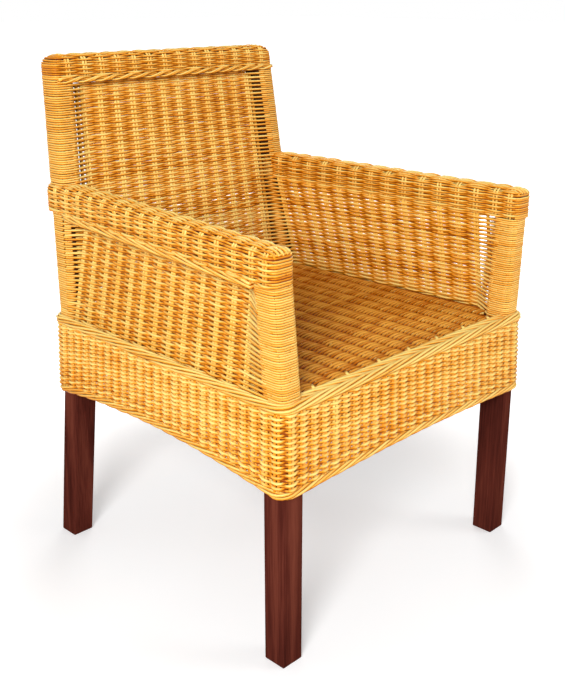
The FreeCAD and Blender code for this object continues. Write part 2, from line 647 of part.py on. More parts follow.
BAND_HALF_FOOT = f"({back_post_x(BAND_FOOT)} + post_wide / 2)"
BAND_HALF_HEAD = f"({back_post_x('back_height')} + post_wide / 2)"
band_block = upright(
    "band_block",
    ("0", back_post_y(BAND_FOOT), BAND_FOOT, f"2 * {BAND_HALF_FOOT}", f"2 * {BAND_REACH}"),
    ("0", back_post_y("back_height"), "back_height", f"2 * {BAND_HALF_HEAD}", f"2 * {BAND_REACH}"),
)
band_ends = rounded("band_ends", band_block, SIZES["band_corner"], Vector(0, 1, 0), upper_only=True)
band_skin = rounded("band_skin", band_ends, SIZES["band_round"], PLAN_AXIS)
band_room = upright(
    "band_room",
    ("0", back_post_y(f"({BAND_FOOT} - {OVER})"), f"({BAND_FOOT} - {OVER})",
     f"2 * ({TOP_RAIL_HALF} + gap + back_taper * band_high)", f"{CORE_DEEP} + 2 * gap"),
    ("0", back_post_y(f"({TOP_RAIL_HEAD} + gap)"), f"({TOP_RAIL_HEAD} + gap)",
     f"2 * ({TOP_RAIL_HALF} + gap)", f"{CORE_DEEP} + 2 * gap"),
)
node(cut("band", band_skin, band_room), "top_band")
BAND_BORDER_FOOT = f"({BAND_FOOT} - gap - band_border_high)"
BAND_BORDER_Y = f"({back_post_y(BAND_BORDER_FOOT)} - {BAND_REACH} + band_wall / 2)"
BAND_BORDER_HALF = f"({back_post_x(BAND_FOOT)} - post_wide / 2 - gap)"
node(box(
    "band_edge", f"-{BAND_BORDER_HALF}", f"({BAND_BORDER_Y} - band_wall / 2)", BAND_BORDER_FOOT,
    f"2 * {BAND_BORDER_HALF}", "band_wall", "band_border_high",
), "band_border")

# Woven panels with channels for their stakes

def size(alias):
    """Present value of one cell of the sheet, for the pieces that are set in code."""
    return float(sheet.get(alias))


def stakes(name, lines, radius):
    """Round rods on straight lines, as one group. Each line is its two end points."""
    rods = [Part.makeCylinder(radius, (end - start).Length, start, end - start) for start, end in lines]
    feature = doc.addObject("Part::Feature", name)
    feature.Shape = Part.makeCompound(rods)
    feature.Placement = Placement()
    return feature


def pair_places(length, pitch):
    """Middles of the stake pairs along a panel, as shares of its length from 0 to 1."""
    count = int(length // pitch)
    first = (length - (count - 1) * pitch) / 2
    return [(first + index * pitch) / length for index in range(count)]


def staked_panel(label, plate, lines):
    """A woven panel with open channels, and the rods that stand in them."""
    radius = size("stake_radius")
    longer = []
    for start, end in lines:
        over = (end - start).normalize() * OVER
        longer.append((start - over, end + over))
    channels = stakes(f"{label}_channels", longer, radius + size("gap"))
    node(cut(f"{label}_woven", plate, channels), label)
    node(stakes(f"{label}_rods", lines, radius), label.replace("panel", "stakes"))


def pane(name, foot, head, thick, across):
    """Plate between a foot edge and a head edge, each two (x, y, z) points, and the lines of both edges."""
    edges = []
    for level, (start, end) in (("foot", foot), ("head", head)):
        line = doc.addObject("Part::Line", f"{name}_{level}")
        for index, point in (("1", start), ("2", end)):
            for axis, formula in zip("XYZ", point):
                line.setExpression(f"{axis}{index}", linked(formula))
        edges.append(line)
    sheet_face = doc.addObject("Part::RuledSurface", f"{name}_face")
    sheet_face.Curve1 = (edges[0], ["Edge1"])
    sheet_face.Curve2 = (edges[1], ["Edge1"])
    plate = doc.addObject("Part::Extrusion", f"{name}_plate")
    plate.Base = sheet_face
    plate.DirMode = "Custom"
    plate.Dir = across
    plate.Solid = True
    bind(plate, LengthFwd=f"{thick} / 2", LengthRev=f"{thick} / 2")
    return plate, *edges


def ends(line):
    return Vector(line.X1, line.Y1, line.Z1), Vector(line.X2, line.Y2, line.Z2)


def paired_lines(foot, head, pitch, beside):
    """Two stakes side by side at each place, from the panel's foot edge up to its head edge."""
    doc.recompute()
    foot_start, foot_end = ends(foot)
    head_start, head_end = ends(head)
    offset = beside * (size("stake_pair") / 2)
    lines = []
    for share in pair_places((head_end - head_start).Length, pitch):
        low = foot_start + (foot_end - foot_start) * share
        high = head_start + (head_end - head_start) * share
        trim = (high - low).normalize() * (2 * size("gap"))
        for shift in (-offset, offset):
            lines.append((low + trim + shift, high - trim + shift))
    return lines


PANEL_SIDE = "(post_wide / 2 + gap)"
PANEL_HEAD = f"({BAND_FOOT} - gap)"
PANEL_BEHIND = "((post_deep - panel_thick) / 2 - back_panel_inset)"
back_corners = []
for z in (SEAT_TOP, PANEL_HEAD):
    half = f"({back_post_x(z)} - {PANEL_SIDE})"
    y = f"({back_post_y(z)} + {PANEL_BEHIND})"
    back_corners.append(((f"-{half}", y, z), (half, y, z)))
back_plate, *back_edges = pane("back", *back_corners, "panel_thick", Vector(0, 1, 0))
back_lines = paired_lines(*back_edges, size("back_stake_pitch"), Vector(1, 0, 0))
staked_panel("back_panel", back_plate, back_lines)

# A side panel stands near the posts' outer faces at its foot, and leans in to the arm's inner side at its head.
for side, sign in SIDES:
    panel_front_y = f"({arm_post_y(COVER_FRONT_FOOT)} + post_deep / 2 + gap)"
    panel_rear_y = f"({back_post_y(COVER_REAR_FOOT)} - post_deep / 2 - gap)"
    front_head = f"({along_arm(COVER_FRONT_FOOT, COVER_REAR_FOOT, panel_front_y)} - gap)"
    rear_head = f"({along_arm(COVER_FRONT_FOOT, COVER_REAR_FOOT, panel_rear_y)} - gap)"
    corners = []
    for front_z, rear_z, front_out, rear_out in (
        (SEAT_TOP, SEAT_TOP, "panel_foot_out", "panel_foot_out"),
        (front_head, rear_head, "(0 - panel_head_in)", "(0 - panel_rear_in)"),
    ):
        start_x = f"({sign} * ({arm_post_x(front_z)} + {front_out}))"
        start_y = f"({arm_post_y(front_z)} + post_deep / 2 + gap)"
        end_x = f"({sign} * ({back_post_x(rear_z)} + {rear_out}))"
        end_y = f"({back_post_y(rear_z)} - post_deep / 2 - gap)"
        corners.append(((start_x, start_y, front_z), (end_x, end_y, rear_z)))
    plate, *edges = pane(f"side_{side}", *corners, "panel_thick", Vector(1, 0, 0))
    lines = paired_lines(*edges, size("side_stake_pitch"), Vector(0, 1, 0))
    staked_panel(f"side_panel_{side}", plate, lines)

seat_plate = plan_block("seat_plate", "(0 - apron_wall - gap)", FRAME_TOP, "seat_thick")
post_rooms = []
for end, side, sign, ahead, leg_x, leg_y, post_x, post_y in CORNERS:
    room_inner_x = f"({post_x} - {CORE_WIDE} / 2 - post_room)"
    room_x = room_inner_x if sign > 0 else f"(-{room_inner_x} - post_inset - post_wide)"
    room_y = f"({post_y} - {CORE_DEEP} / 2 - post_room)"
    if ahead < 0:
        room_y = f"({post_y} + {CORE_DEEP} / 2 + post_room - post_inset - post_deep)"
    post_rooms.append(box(
        f"post_room_{end}_{side}", room_x, room_y, f"({FRAME_TOP} - {OVER})",
        "(post_inset + post_wide)", "(post_inset + post_deep)", f"(seat_thick + 2 * {OVER})",
    ))
seat_field = cut("seat_field", seat_plate, *post_rooms)
doc.recompute()
seat_mid_z = (seat_plate.Zmin.Value + seat_plate.Zmax.Value) / 2
seat_start_y = seat_plate.Ymin.Value + size("gap")
seat_end_y = seat_plate.Ymax.Value - size("gap")
seat_half = seat_plate.X2max.Value + size("apron_wall") - size("post_inset") - size("post_wide")
seat_lines = []
for share in pair_places(2 * seat_half, size("seat_stake_pitch")):
    for offset in (-size("stake_pair") / 2, size("stake_pair") / 2):
        x = -seat_half + 2 * seat_half * share + offset
        seat_lines.append((Vector(x, seat_start_y, seat_mid_z), Vector(x, seat_end_y, seat_mid_z)))
staked_panel("seat_panel", seat_field, seat_lines)

doc.recompute()

faults = [obj.Name for obj in doc.Objects if {"Invalid", "Error"} & set(obj.State)]
for piece in NODES:
    if piece.Shape.isNull() or not piece.Shape.isValid() or not piece.Shape.Solids:
        faults.append(piece.Label)
if faults:
    raise RuntimeError("not built: " + ", ".join(faults))

os.makedirs("parts", exist_ok=True)
for piece in NODES:
    piece.Shape.exportStep(os.path.join("parts", piece.Label + ".step"))
print(len(NODES), "pieces written")
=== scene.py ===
import math
import random
from bisect import bisect_right

import bmesh
import bpy
import numpy as np
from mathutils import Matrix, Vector


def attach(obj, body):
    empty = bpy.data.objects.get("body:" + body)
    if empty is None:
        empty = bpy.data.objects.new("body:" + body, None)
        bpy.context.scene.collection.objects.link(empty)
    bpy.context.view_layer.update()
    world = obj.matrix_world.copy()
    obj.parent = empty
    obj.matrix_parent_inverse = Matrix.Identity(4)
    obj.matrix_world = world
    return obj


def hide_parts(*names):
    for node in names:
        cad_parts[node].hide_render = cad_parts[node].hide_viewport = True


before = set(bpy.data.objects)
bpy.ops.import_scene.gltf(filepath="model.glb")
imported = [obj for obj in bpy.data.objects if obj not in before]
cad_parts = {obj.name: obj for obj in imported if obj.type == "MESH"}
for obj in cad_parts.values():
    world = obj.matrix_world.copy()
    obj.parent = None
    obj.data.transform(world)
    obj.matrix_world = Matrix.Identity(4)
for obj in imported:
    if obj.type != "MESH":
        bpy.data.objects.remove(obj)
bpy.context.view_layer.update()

# Woven rattan armchair: every visible strand is a round rod that passes over and under the stakes.
# Lengths are in millimetres until a piece is made, and the chair faces -Y as the frame does.
# Each handed piece is worked out on the sitter's left, +X, and mirrored for the right.

MM = 0.001
UP = Vector((0, 0, 1))
HANDS = (("left", 1), ("right", -1))


# Finishes

RATTAN_PLACES = (0.1, 0.5, 0.9)
SLOW_STREAKS, SLOW_SPREAD = 9, 61
FINE_STREAKS, FINE_SPREAD = 70, 47
JOINTS, JOINT_SPREAD, JOINT_SHARP = 3.1, 9, 60
WOOD_PLACES = (0.2, 0.5, 0.85)
GRAIN_SCALE = (26.0, 26.0, 1.6)
PORE_SCALE = (420.0, 420.0, 14.0)
STEEL_PLACES = (0.3, 0.7)


class Feed:
    """A socket of one material, on which sums and products can be written."""

    def __init__(self, tree, socket=None):
        self.tree = tree
        self.socket = socket

    def node(self, kind, inputs=(), output=0, stops=(), **settings):
        """Adds a node: first its settings and ramp stops, then values or links for its sockets."""
        made = self.tree.nodes.new("ShaderNode" + kind)
        for name, value in settings.items():
            setattr(made, name, value)
        for index, (place, colour) in enumerate(stops):
            ramp = made.color_ramp.elements
            stop = ramp[index] if index < len(ramp) else ramp.new(place)
            stop.position = place
            stop.color = (*colour, 1)
        for key, value in dict(inputs).items():
            if isinstance(value, Feed):
                self.tree.links.new(value.socket, made.inputs[key])
            else:
                made.inputs[key].default_value = value
        return Feed(self.tree, made.outputs[output])

    def maths(self, operation, *values, **settings):
        return self.node("Math", enumerate(values), operation=operation, **settings)

    def __add__(self, other):
        return self.maths("ADD", self, other)

    def __sub__(self, other):
        return self.maths("SUBTRACT", self, other)

    def __rsub__(self, other):
        return self.maths("SUBTRACT", other, self)

    def __mul__(self, other):
        return self.maths("MULTIPLY", self, other)

    __radd__ = __add__
    __rmul__ = __mul__


def new_finish(name):
    finish = bpy.data.materials.new(name)
    finish.use_nodes = True
    return finish, Feed(finish.node_tree), finish.node_tree.nodes["Principled BSDF"]


def wire(start, shader, **feeds):
    """Links feeds to a shader's sockets. An underscore in a name stands for a space."""
    for name, feed in feeds.items():
        start.tree.links.new(feed.socket, shader.inputs[name.replace("_", " ")])


def settle(shader, **values):
    """Sets a shader's sockets that are the same all over the surface."""
    for name, value in values.items():
        shader.inputs[name.replace("_", " ")].default_value = value


def noise(spot, scale, detail, distortion=0.0):
    """Noise from 0 to 1 at a spot of the surface."""
    inputs = {"Vector": spot, "Scale": scale, "Detail": detail, "Distortion": distortion}
    return spot.node("TexNoise", inputs)


def tint(mix, places, colours):
    """Colour at a place on a ramp of colours."""
    return mix.node("ValToRGB", {0: mix}, stops=tuple(zip(places, colours)))


def rattan(name, dark, middle, pale, gloss=0.33):
    """Varnished rattan: each strand has its own tone, streaks and a few dark joints.

    Painted highlight pales each strand's top; painted shade darkens below and at crossings.
    """
    finish, start, shader = new_finish(name)
    tone = start.node("Attribute", attribute_name="tone", output="Fac")
    run = start.node("Attribute", attribute_name="run", output="Fac")
    painted_shading = start.node("Attribute", attribute_name="painted_shading", output="Fac")
    place = start.node("TexCoord", output="Object")
    slow = noise(start.node("CombineXYZ", {0: run * SLOW_STREAKS, 1: tone * SLOW_SPREAD}), 1.0, 3.0)
    fine = noise(start.node("CombineXYZ", {0: run * FINE_STREAKS, 1: tone * FINE_SPREAD}), 1.0, 2.0)
    speck = noise(place, 900.0, 2.0)
    patch = noise(place, 7.0, 2.0)
    turn = start.maths("FRACT", run * JOINTS + tone * JOINT_SPREAD)
    joint = start.maths("SUBTRACT", 1, turn * JOINT_SHARP, use_clamp=True)
    mix = tone * 0.5 + slow * 0.45 + fine * 0.16 + speck * 0.1 + patch * 0.24 - 0.22
    # Painted light: paler tops of strands, painted shade under them and where they cross.
    mix = mix - joint * 0.18 + painted_shading * 0.42
    colour = tint(mix, RATTAN_PLACES, (dark, middle, pale))
    rough = gloss + fine * 0.16 + speck * 0.08
    grain = fine * 0.6 + speck * 0.4
    bump = start.node("Bump", {"Height": grain, "Strength": 0.12, "Distance": 0.0006})
    wire(start, shader, Base_Color=colour, Roughness=rough, Normal=bump)
    settle(shader, Coat_Weight=0.06, Coat_Roughness=0.18, Specular_IOR_Level=0.1)
    return finish


def wood(name, dark, middle, pale, gloss=0.6):
    """Timber with its grain up and down the piece, fine pores and a rubbed finish."""
    finish, start, shader = new_finish(name)
    place = start.node("TexCoord", output="Object")
    grain = noise(start.node("Mapping", {"Vector": place, "Scale": GRAIN_SCALE}), 1.0, 5.0, 0.8)
    pores = noise(start.node("Mapping", {"Vector": place, "Scale": PORE_SCALE}), 1.0, 2.0)
    cloud = noise(place, 5.0, 3.0)
    mix = grain * 1.1 + pores * 0.45 + cloud * 0.3 - 0.42
    colour = tint(mix, WOOD_PLACES, (dark, middle, pale))
    rough = gloss + pores * 0.2 + cloud * 0.1
    height = pores * 0.7 + grain * 0.3
    bump = start.node("Bump", {"Height": height, "Strength": 0.18, "Distance": 0.0005})
    wire(start, shader, Base_Color=colour, Roughness=rough, Normal=bump)
    settle(shader, Specular_IOR_Level=0.0)
    return finish


def bright_steel(name, dark, pale):
    """Plated steel with a faint stain."""
    finish, start, shader = new_finish(name)
    stain = noise(start.node("TexCoord", output="Object"), 140.0, 4.0)
    colour = tint(stain, STEEL_PLACES, (dark, pale))
    wire(start, shader, Base_Color=colour, Roughness=0.25 + stain * 0.3)
    settle(shader, Metallic=1.0)
    return finish


WEAVE = rattan("honey_rattan_weave", (0.26, 0.042, 0.0), (0.9, 0.335, 0.012), (0.98, 0.74, 0.22))
# The seat's rattan is darker than the rest: partly its own amber colour, partly painted shade.
SEAT_WEAVE = rattan(
    "amber_rattan_seat_painted_shade", (0.16, 0.024, 0.0), (0.52, 0.14, 0.001), (0.82, 0.38, 0.05), gloss=0.38)
ROD = rattan("pale_rattan_rod", (0.6, 0.22, 0.012), (0.94, 0.54, 0.09), (0.98, 0.78, 0.26))
PLAIT = rattan("honey_rattan_plait", (0.28, 0.045, 0.0), (0.9, 0.355, 0.016), (0.98, 0.75, 0.23))
LEG_WOOD = wood(
    "mahogany_leg", (0.024, 0.005, 0.004), (0.085, 0.0175, 0.0115), (0.17, 0.042, 0.025))
FRAME_WOOD = wood(
    "brown_frame_wood", (0.035, 0.012, 0.005), (0.08, 0.03, 0.013), (0.15, 0.065, 0.03))
DOWEL_WOOD = wood(
    "beech_dowel", (0.38, 0.22, 0.1), (0.52, 0.33, 0.17), (0.62, 0.42, 0.24), gloss=0.5)
STEEL = bright_steel("zinc_steel", (0.28, 0.26, 0.24), (0.55, 0.54, 0.52))


# Strands. A tone is a range that a strand's own tone is drawn from, from 0, dark, to 1, pale.

ANY_TONE = (0.15, 0.85)
RADIUS_RANGE = (0.94, 1.05)
RUN_RANGE = (0, 9)
STRAY = 0.22
STRAY_X, STRAY_Y, STRAY_Z = 0.031, 0.027, 0.023
NEAREST = 0.1
LEVEL_DEPTH = 1.8
SIDES_ROUND = 6
MAP_NAME = "OFBake"
MAP_END = 0.03
MAP_SIDE = 0.06
CAP_AT = 0.015
CAP_LONG = 0.01
CAP_WIDE = 0.3


class Strands:
    """The strands of one woven piece, kept as lines until they are made into its mesh."""

    def __init__(self, seed, hand=1):
        self.chance = random.Random(seed)
        self.hand = hand
        self.lines = []

    def lay(self, points, radius, tone=ANY_TONE, closed=False, wobble=STRAY, level=None, shades=()):
        """One strand along points.

        Its painted shading, a painted highlight on top and painted shade below, is measured from a
        level, or else from its own middle. shades add painted shade and highlight at each point.
        """
        chance = self.chance
        phases = [chance.uniform(0, math.tau) for axis in range(3)]
        placed, kept = [], []
        for point, shade in zip(points, shades or [0.0] * len(points)):
            way = point.x * STRAY_X - point.y * STRAY_Y + point.z * STRAY_Z
            stray = Vector(math.sin(way * (1 + axis / 3) + phases[axis]) for axis in range(3))
            x, y, z = (point + stray * wobble) * MM
            spot = (x * self.hand, y, z)
            if not placed or math.dist(spot, placed[-1]) > NEAREST * MM:
                placed.append(spot)
                kept.append(shade)
        own_radius = radius * chance.uniform(*RADIUS_RANGE)
        own_tone, start = chance.uniform(*tone), chance.uniform(*RUN_RANGE)
        self.lines.append((placed, own_radius, own_tone, closed, start, level, kept))

    def build(self, name, finish, slot, *nodes):
        """Makes the piece, closed at its strands' ends, with a strip of its map for each strand."""
        curve = bpy.data.curves.new(name, "CURVE")
        curve.dimensions = "3D"
        curve.bevel_depth = MM
        curve.bevel_resolution = 1
        marks, strips = [], []
        for index, (points, radius, tone, closed, start, level, shades) in enumerate(self.lines):
            spline = curve.splines.new("POLY")
            spline.points.add(len(points) - 1)
            spline.points.foreach_set("co", [value for point in points for value in (*point, 1)])
            spline.points.foreach_set("radius", [radius] * len(points))
            spline.use_cyclic_u = closed
            steps = [0] + [math.dist(a, b) for a, b in zip(points, points[1:])]
            size = (radius if level is None else LEVEL_DEPTH * radius) * MM
            for point, run, shade in zip(points, start + np.cumsum(steps), shades):
                middle = point[2] if level is None else level * MM
                marks.append((index, tone, run, middle, size, shade))
            rings = len(points) if closed else len(points) - 1
            strips.append(np.full(rings * SIDES_ROUND * 4, index))
        pattern = bpy.data.objects.new(name, curve)
        mesh = bpy.data.meshes.new_from_object(pattern)
        bpy.data.objects.remove(pattern)
        bpy.data.curves.remove(curve)
        mesh.name = name
        columns = np.repeat(np.transpose(marks), SIDES_ROUND, axis=1)
        owners, tones, runs, middles, sizes, lifts = columns
        spots = np.empty(len(mesh.vertices) * 3)
        mesh.vertices.foreach_get("co", spots)
        # Painted shading: paler above a strand's middle or level, darker below, plus the painted
        # shade of its crossings.
        painted_shading_values = np.clip((spots[2::3] - middles) / sizes + lifts, -1, 1)
        for label, values in (("tone", tones), ("run", runs), ("painted_shading", painted_shading_values)):
            mesh.attributes.new(label, "FLOAT", "POINT").data.foreach_set("value", values)
        layer = mesh.uv_layers[0]
        layer.name = MAP_NAME
        spread = np.empty(len(mesh.loops) * 2)
        layer.data.foreach_get("uv", spread)
        count = len(self.lines)
        strip = MAP_SIDE + (1 - 2 * MAP_SIDE) * spread[1::2]
        spread[0::2] = MAP_END + (1 - 2 * MAP_END) * spread[0::2]
        spread[1::2] = (np.concatenate(strips) + strip) / count
        layer.data.foreach_set("uv", spread)
        self.cap(mesh, owners, count)
        mesh.materials.append(finish)
        piece = bpy.data.objects.new(name, mesh)
        bpy.context.scene.collection.objects.link(piece)
        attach(piece, "root")
        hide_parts(*nodes)

    def cap(self, mesh, owners, count):
        """Closes the open ends, and maps each cap to its own place at the end of its strip."""
        shell = bmesh.new()
        shell.from_mesh(mesh)
        rims = [edge for edge in shell.edges if edge.is_boundary]
        caps = bmesh.ops.holes_fill(shell, edges=rims, sides=SIDES_ROUND)["faces"]
        spread = shell.loops.layers.uv[MAP_NAME]
        for face in caps:
            face.smooth = False
            beside = [corner for corner in face.verts[0].link_loops if corner.face != face]
            at_end = any(corner[spread].uv.x > 0.5 for corner in beside)
            along = 1 - CAP_AT if at_end else CAP_AT
            for turn, corner in enumerate(face.loops):
                angle = math.tau * turn / SIDES_ROUND
                row = (owners[corner.vert.index] + 0.5 + CAP_WIDE * math.sin(angle)) / count
                corner[spread].uv = (along + CAP_LONG * math.cos(angle), row)
        bmesh.ops.recalc_face_normals(shell, faces=shell.faces)
        shell.to_mesh(mesh)
        shell.free()


# Lines that strands follow

ARC_STEP = math.radians(18)


class Outline:
    """Closed plan line with rounded corners, measured along its length, anticlockwise."""

    def __init__(self, corners, radius):
        corners = [Vector(corner) for corner in corners]
        self.spots = []
        self.sides = []
        self.length = 0.0
        ways = []
        for corner, after in zip(corners, corners[1:] + corners[:1]):
            ways.append((after - corner).normalized())
        turns = [before.angle_signed(way) for before, way in zip(ways[-1:] + ways[:-1], ways)]
        reach = [radius * math.tan(abs(turn) / 2) for turn in turns]
        for index, way in enumerate(ways):
            after = (index + 1) % len(corners)
            outward = Vector((way.y, -way.x))
            start = corners[index] + way * reach[index]
            end = corners[after] - way * reach[after]
            begun = self.length
            if not index:
                self.note(start, outward)
            self.length += (end - start).length
            self.note(end, outward)
            self.sides.append((begun, self.length))
            middle = end - outward * radius
            sweep = abs(turns[after])
            parts = max(2, round(sweep / ARC_STEP))
            for part in range(1, parts + 1):
                angle = math.atan2(outward.y, outward.x) + sweep * part / parts
                normal = Vector((math.cos(angle), math.sin(angle)))
                self.length += radius * sweep / parts
                self.note(middle + normal * radius, normal)
        self.lengths = [spot[0] for spot in self.spots]

    def note(self, point, normal):
        self.spots.append((self.length, point, normal))

    def at(self, length):
        """Point and outward normal at a length along the line."""
        length %= self.length
        index = min(bisect_right(self.lengths, length), len(self.spots) - 1)
        before, after = self.spots[index - 1], self.spots[index]
        share = (length - before[0]) / max(after[0] - before[0], 1e-6)
        return before[1].lerp(after[1], share), before[2].lerp(after[2], share).normalized()


def straight_at(start, end):
    """Line between two points, with its level normal to the right of the way, and its length."""
    way = (end - start).normalized()
    outward = Vector((way.y, -way.x, 0)).normalized()
    return (lambda length: (start + way * length, outward)), (end - start).length


def block_outline(middle, half, radius):
    x, y = half
    return Outline([middle + Vector(c) for c in ((-x, -y), (x, -y), (x, y), (-x, y))], radius)


def raised(flat, z):
    return Vector((flat.x, flat.y, z))


def mirrored(point):
    return Vector((-point.x, point.y, point.z))


def levels(start, end, pitch):
    """Evenly spaced rows from start to end, as near to the pitch as they fit."""
    count = max(round((end - start) / pitch), 1)
    return [start + (end - start) * (index + 0.5) / count for index in range(count)]


# Weaving and twisting. A station is a length along a strand and its offset there, at a stake.

FLAT = 0.08
STEPS = (0.08, 0.29, 0.5, 0.71, 0.92)
FEW_STEPS = (0.1, 0.37, 0.63, 0.9)
# Painted shade where woven strands cross between stakes, painted highlight where they lie on them.
SHADE = 0.85
SHADE_MIDDLE = 0.64
ROPE_STEP = 7
ROPE_LEAST = 8
ROPE_BESIDE = 0.12
ROPE_TONE = (0.3, 0.85)
CORE_SHARE = 0.6
CORE_SHADE_TONE = (0.1, 0.25)


def flip(*counts):
    return 1 if sum(counts) % 2 == 0 else -1


def swing(share, near, far):
    """Offset on the way from one stake to the next: flat on each, with a smooth change of side."""
    turn = min(max((share - FLAT) / (1 - 2 * FLAT), 0), 1)
    return far + (near - far) * (0.5 + 0.5 * math.cos(math.pi * turn))


def woven(at, stations, marks=(), closed=False, steps=STEPS, shade=SHADE):
    """Points of a strand and their shades, which are darker where it changes sides.

    at(length) gives place and normal, and marks are lengths at which the strand bends as well.
    """
    spots = [] if closed else [stations[0]]
    for (start, near), (end, far) in zip(stations, stations[1:]):
        bends = [(mark - start) / (end - start) for mark in marks if start < mark < end]
        for share in sorted([*steps, *bends]):
            spots.append((start + (end - start) * share, swing(share, near, far)))
    if not closed:
        spots.append(stations[-1])
    peak = max(abs(offset) for length, offset in stations)
    points, shades = [], []
    for length, offset in spots:
        place, normal = at(length)
        points.append(place + normal * offset)
        # Painted shade where the strand crosses, painted highlight where it lies on a stake.
        shades.append(shade * (abs(offset) / peak - SHADE_MIDDLE))
    return points, shades


def joined(before, points, after, shades):
    """A woven strand with its two ends, which have no shades of their own."""
    return before + points + after, [0] * len(before) + shades + [0] * len(after)


def all_round(line, stations):
    """Stations of a closed line in order, with the first one again at the end."""
    stations = sorted(stations)
    return stations + [(stations[0][0] + line.length, stations[0][1])]


def woven_round(line, at, stations):
    """Points and shades of a strand round a closed line, which bends where the line does."""
    marks = line.lengths + [mark + line.length for mark in line.lengths]
    return woven(at, all_round(line, stations), marks, closed=True)


def rope(strands, at, length, count, across, up, lay, radius, closed=False, strands_each=1):
    """Bundles of strands twisted round a line, with one turn in each lay, and a core.

    across and up are the half sizes of the ring that they run on.
    """
    steps = max(int(length / ROPE_STEP), ROPE_LEAST)
    spots = range(steps if closed else steps + 1)
    for index in range(count):
        for beside in range(strands_each):
            points = []
            for step in spots:
                along = length * step / steps
                place, normal = at(along)
                angle = math.tau * (along / lay + index / count + beside * ROPE_BESIDE)
                aside = normal * (across * math.cos(angle))
                points.append(place + aside + UP * (up * math.sin(angle)))
            strands.lay(points, radius, ROPE_TONE, closed)
    core = [at(length * step / steps)[0] for step in spots]
    # The core is toned dark: painted shade in the gaps between the twisted strands.
    strands.lay(core, CORE_SHARE * min(across, up), CORE_SHADE_TONE, closed, wobble=0)


# Places on the chair, as the frame has them

SEAT_TOP = 432
FRONT_Y = -317.8
REAR_Y = 276.2
FRONT_HALF = 309
REAR_HALF = 291
ARM_FOOT_FRONT = 601
ARM_FOOT_REAR = 612
ARM_POST_FOOT = (280, -287.8)
ARM_POST_LEAN = (0.08, 0.018)
BACK_POST_FOOT = (262, 246.2)
BACK_POST_LEAN = (-0.06, 0.115)
POST_HALF = Vector((22.5, 23.5))
POST_ROUND = 14
WRAP = 2.0
BEND = POST_ROUND - WRAP
POST_RUN = POST_HALF - Vector((WRAP, WRAP))
CORNER_PARTS = 3


def leaning(foot, lean, z):
    """Middle of a post at a height. foot is its place at the top of the seat."""
    return Vector([place + slope * (z - SEAT_TOP) for place, slope in zip(foot, lean)])


def arm_post(z):
    return leaning(ARM_POST_FOOT, ARM_POST_LEAN, z)


def back_post(z):
    return leaning(BACK_POST_FOOT, BACK_POST_LEAN, z)


def post_corner(post, z, side, end):
    """Middle of the bend at a post's corner. side is 1 outside, end is 1 behind, or else -1."""
    return post(z) + Vector((side * (POST_RUN.x - BEND), end * (POST_RUN.y - BEND)))


def round_corner(spot, middle, turn, sweep):
    """Way of a strand from a spot to a post's corner and round it: turn 1 to the left, -1 right."""
    to = middle - spot
    heading = math.atan2(to.y, to.x) - turn * math.asin(min(BEND / to.length, 1))
    start = heading - turn * math.pi / 2
    points = []
    for part in range(CORNER_PARTS + 1):
        angle = start + turn * sweep * part / CORNER_PARTS
        points.append(middle + BEND * Vector((math.cos(angle), math.sin(angle))))
    return points


# Sizes of strands and stakes, and the rows that the back, the back posts and the sides share

WEAVER = 2.15
PANEL_WEAVER = 2.3
STAKE = 2.3
PANEL_STAKE = 2.6
RIB = STAKE * 0.9
PAIR = (-3.0, 3.0)
ROW = 180 / 46
FIRST_ROW = -2
ROD_STRAY = 0.4
RIB_STRAY = 0.3
RIB_TONE = (0.6, 1.0)
PALE_TONE = (0.5, 1.0)
# Rods beside the posts are toned darkest: painted shade in the gaps next to the posts.
EDGE_ROD = 3.2
EDGE_SHADE_TONE = (0.0, 0.1)


def row_height(row):
    return SEAT_TOP + ROW * (row + 0.5)


def tucked(row, hand):
    """1 for a row that ends inside a side and behind the back, 0 for one outside and in front."""
    return (row + (hand > 0)) % 2


def pair_x(index, count, pitch):
    """Place of a pair of stakes across the chair, where count pairs lie about its middle."""
    return pitch * (index - (count - 1) / 2)


# Wrapping round the posts. A back post's rings leave it open where the weave comes in: each starts
# by the start of its first side and ends by the end of its last one. The two reaches are for rows
# that are not tucked and for rows that are.

WRAP_BELOW = 11
ARM_RING_PITCH = 180 / 49
RING_TONE = (0.4, 0.68)
LAST_SIDE = 2
LOWER_RINGS = range(-3, 46)
UPPER_RINGS = range(57, 104)
BACK_POST_WRAPS = (
    ("lower", LOWER_RINGS, 1, ((-2, 12), (-17, 2))),
    ("upper", UPPER_RINGS, 0, ((-2, 9), (-9, 2))),
)


def stretch(line, start, end):
    """Points of a line between two lengths, with both ends."""
    marks = [mark + turn for turn in (0, line.length) for mark in line.lengths]
    inner = [mark for mark in marks if start + 0.5 < mark < end - 0.5]
    return [line.at(length)[0] for length in (start, *inner, end)]


for seed, (side, hand) in enumerate(HANDS):
    wrapping = Strands(f"arm post{seed}", hand)
    for z in levels(SEAT_TOP - WRAP_BELOW, ARM_FOOT_FRONT, ARM_RING_PITCH):
        line = block_outline(arm_post(z), POST_RUN, BEND)
        ring = [raised(spot[1], z) for spot in line.spots if spot[0] < line.length - 0.01]
        wrapping.lay(ring, WRAP, RING_TONE, closed=True)
    wrapping.build(f"arm_post_wrapping_{side}", WEAVE, "rattan_weave", f"arm_post_wrap_{side}")

    for part, rings, first_side, reaches in BACK_POST_WRAPS:
        wrapping = Strands(f"{part} post{seed}", hand)
        for row in rings:
            z = row_height(row)
            line = block_outline(back_post(z), POST_RUN, BEND)
            before, past = reaches[tucked(row, hand)]
            start, end = line.sides[first_side][0] + before, line.sides[LAST_SIDE][1] + past
            wrapping.lay([raised(point, z) for point in stretch(line, start, end)], WRAP, RING_TONE)
        wrapping.build(
            f"{part}_post_wrapping_{side}", WEAVE, "rattan_weave", f"{part}_post_wrap_{side}")
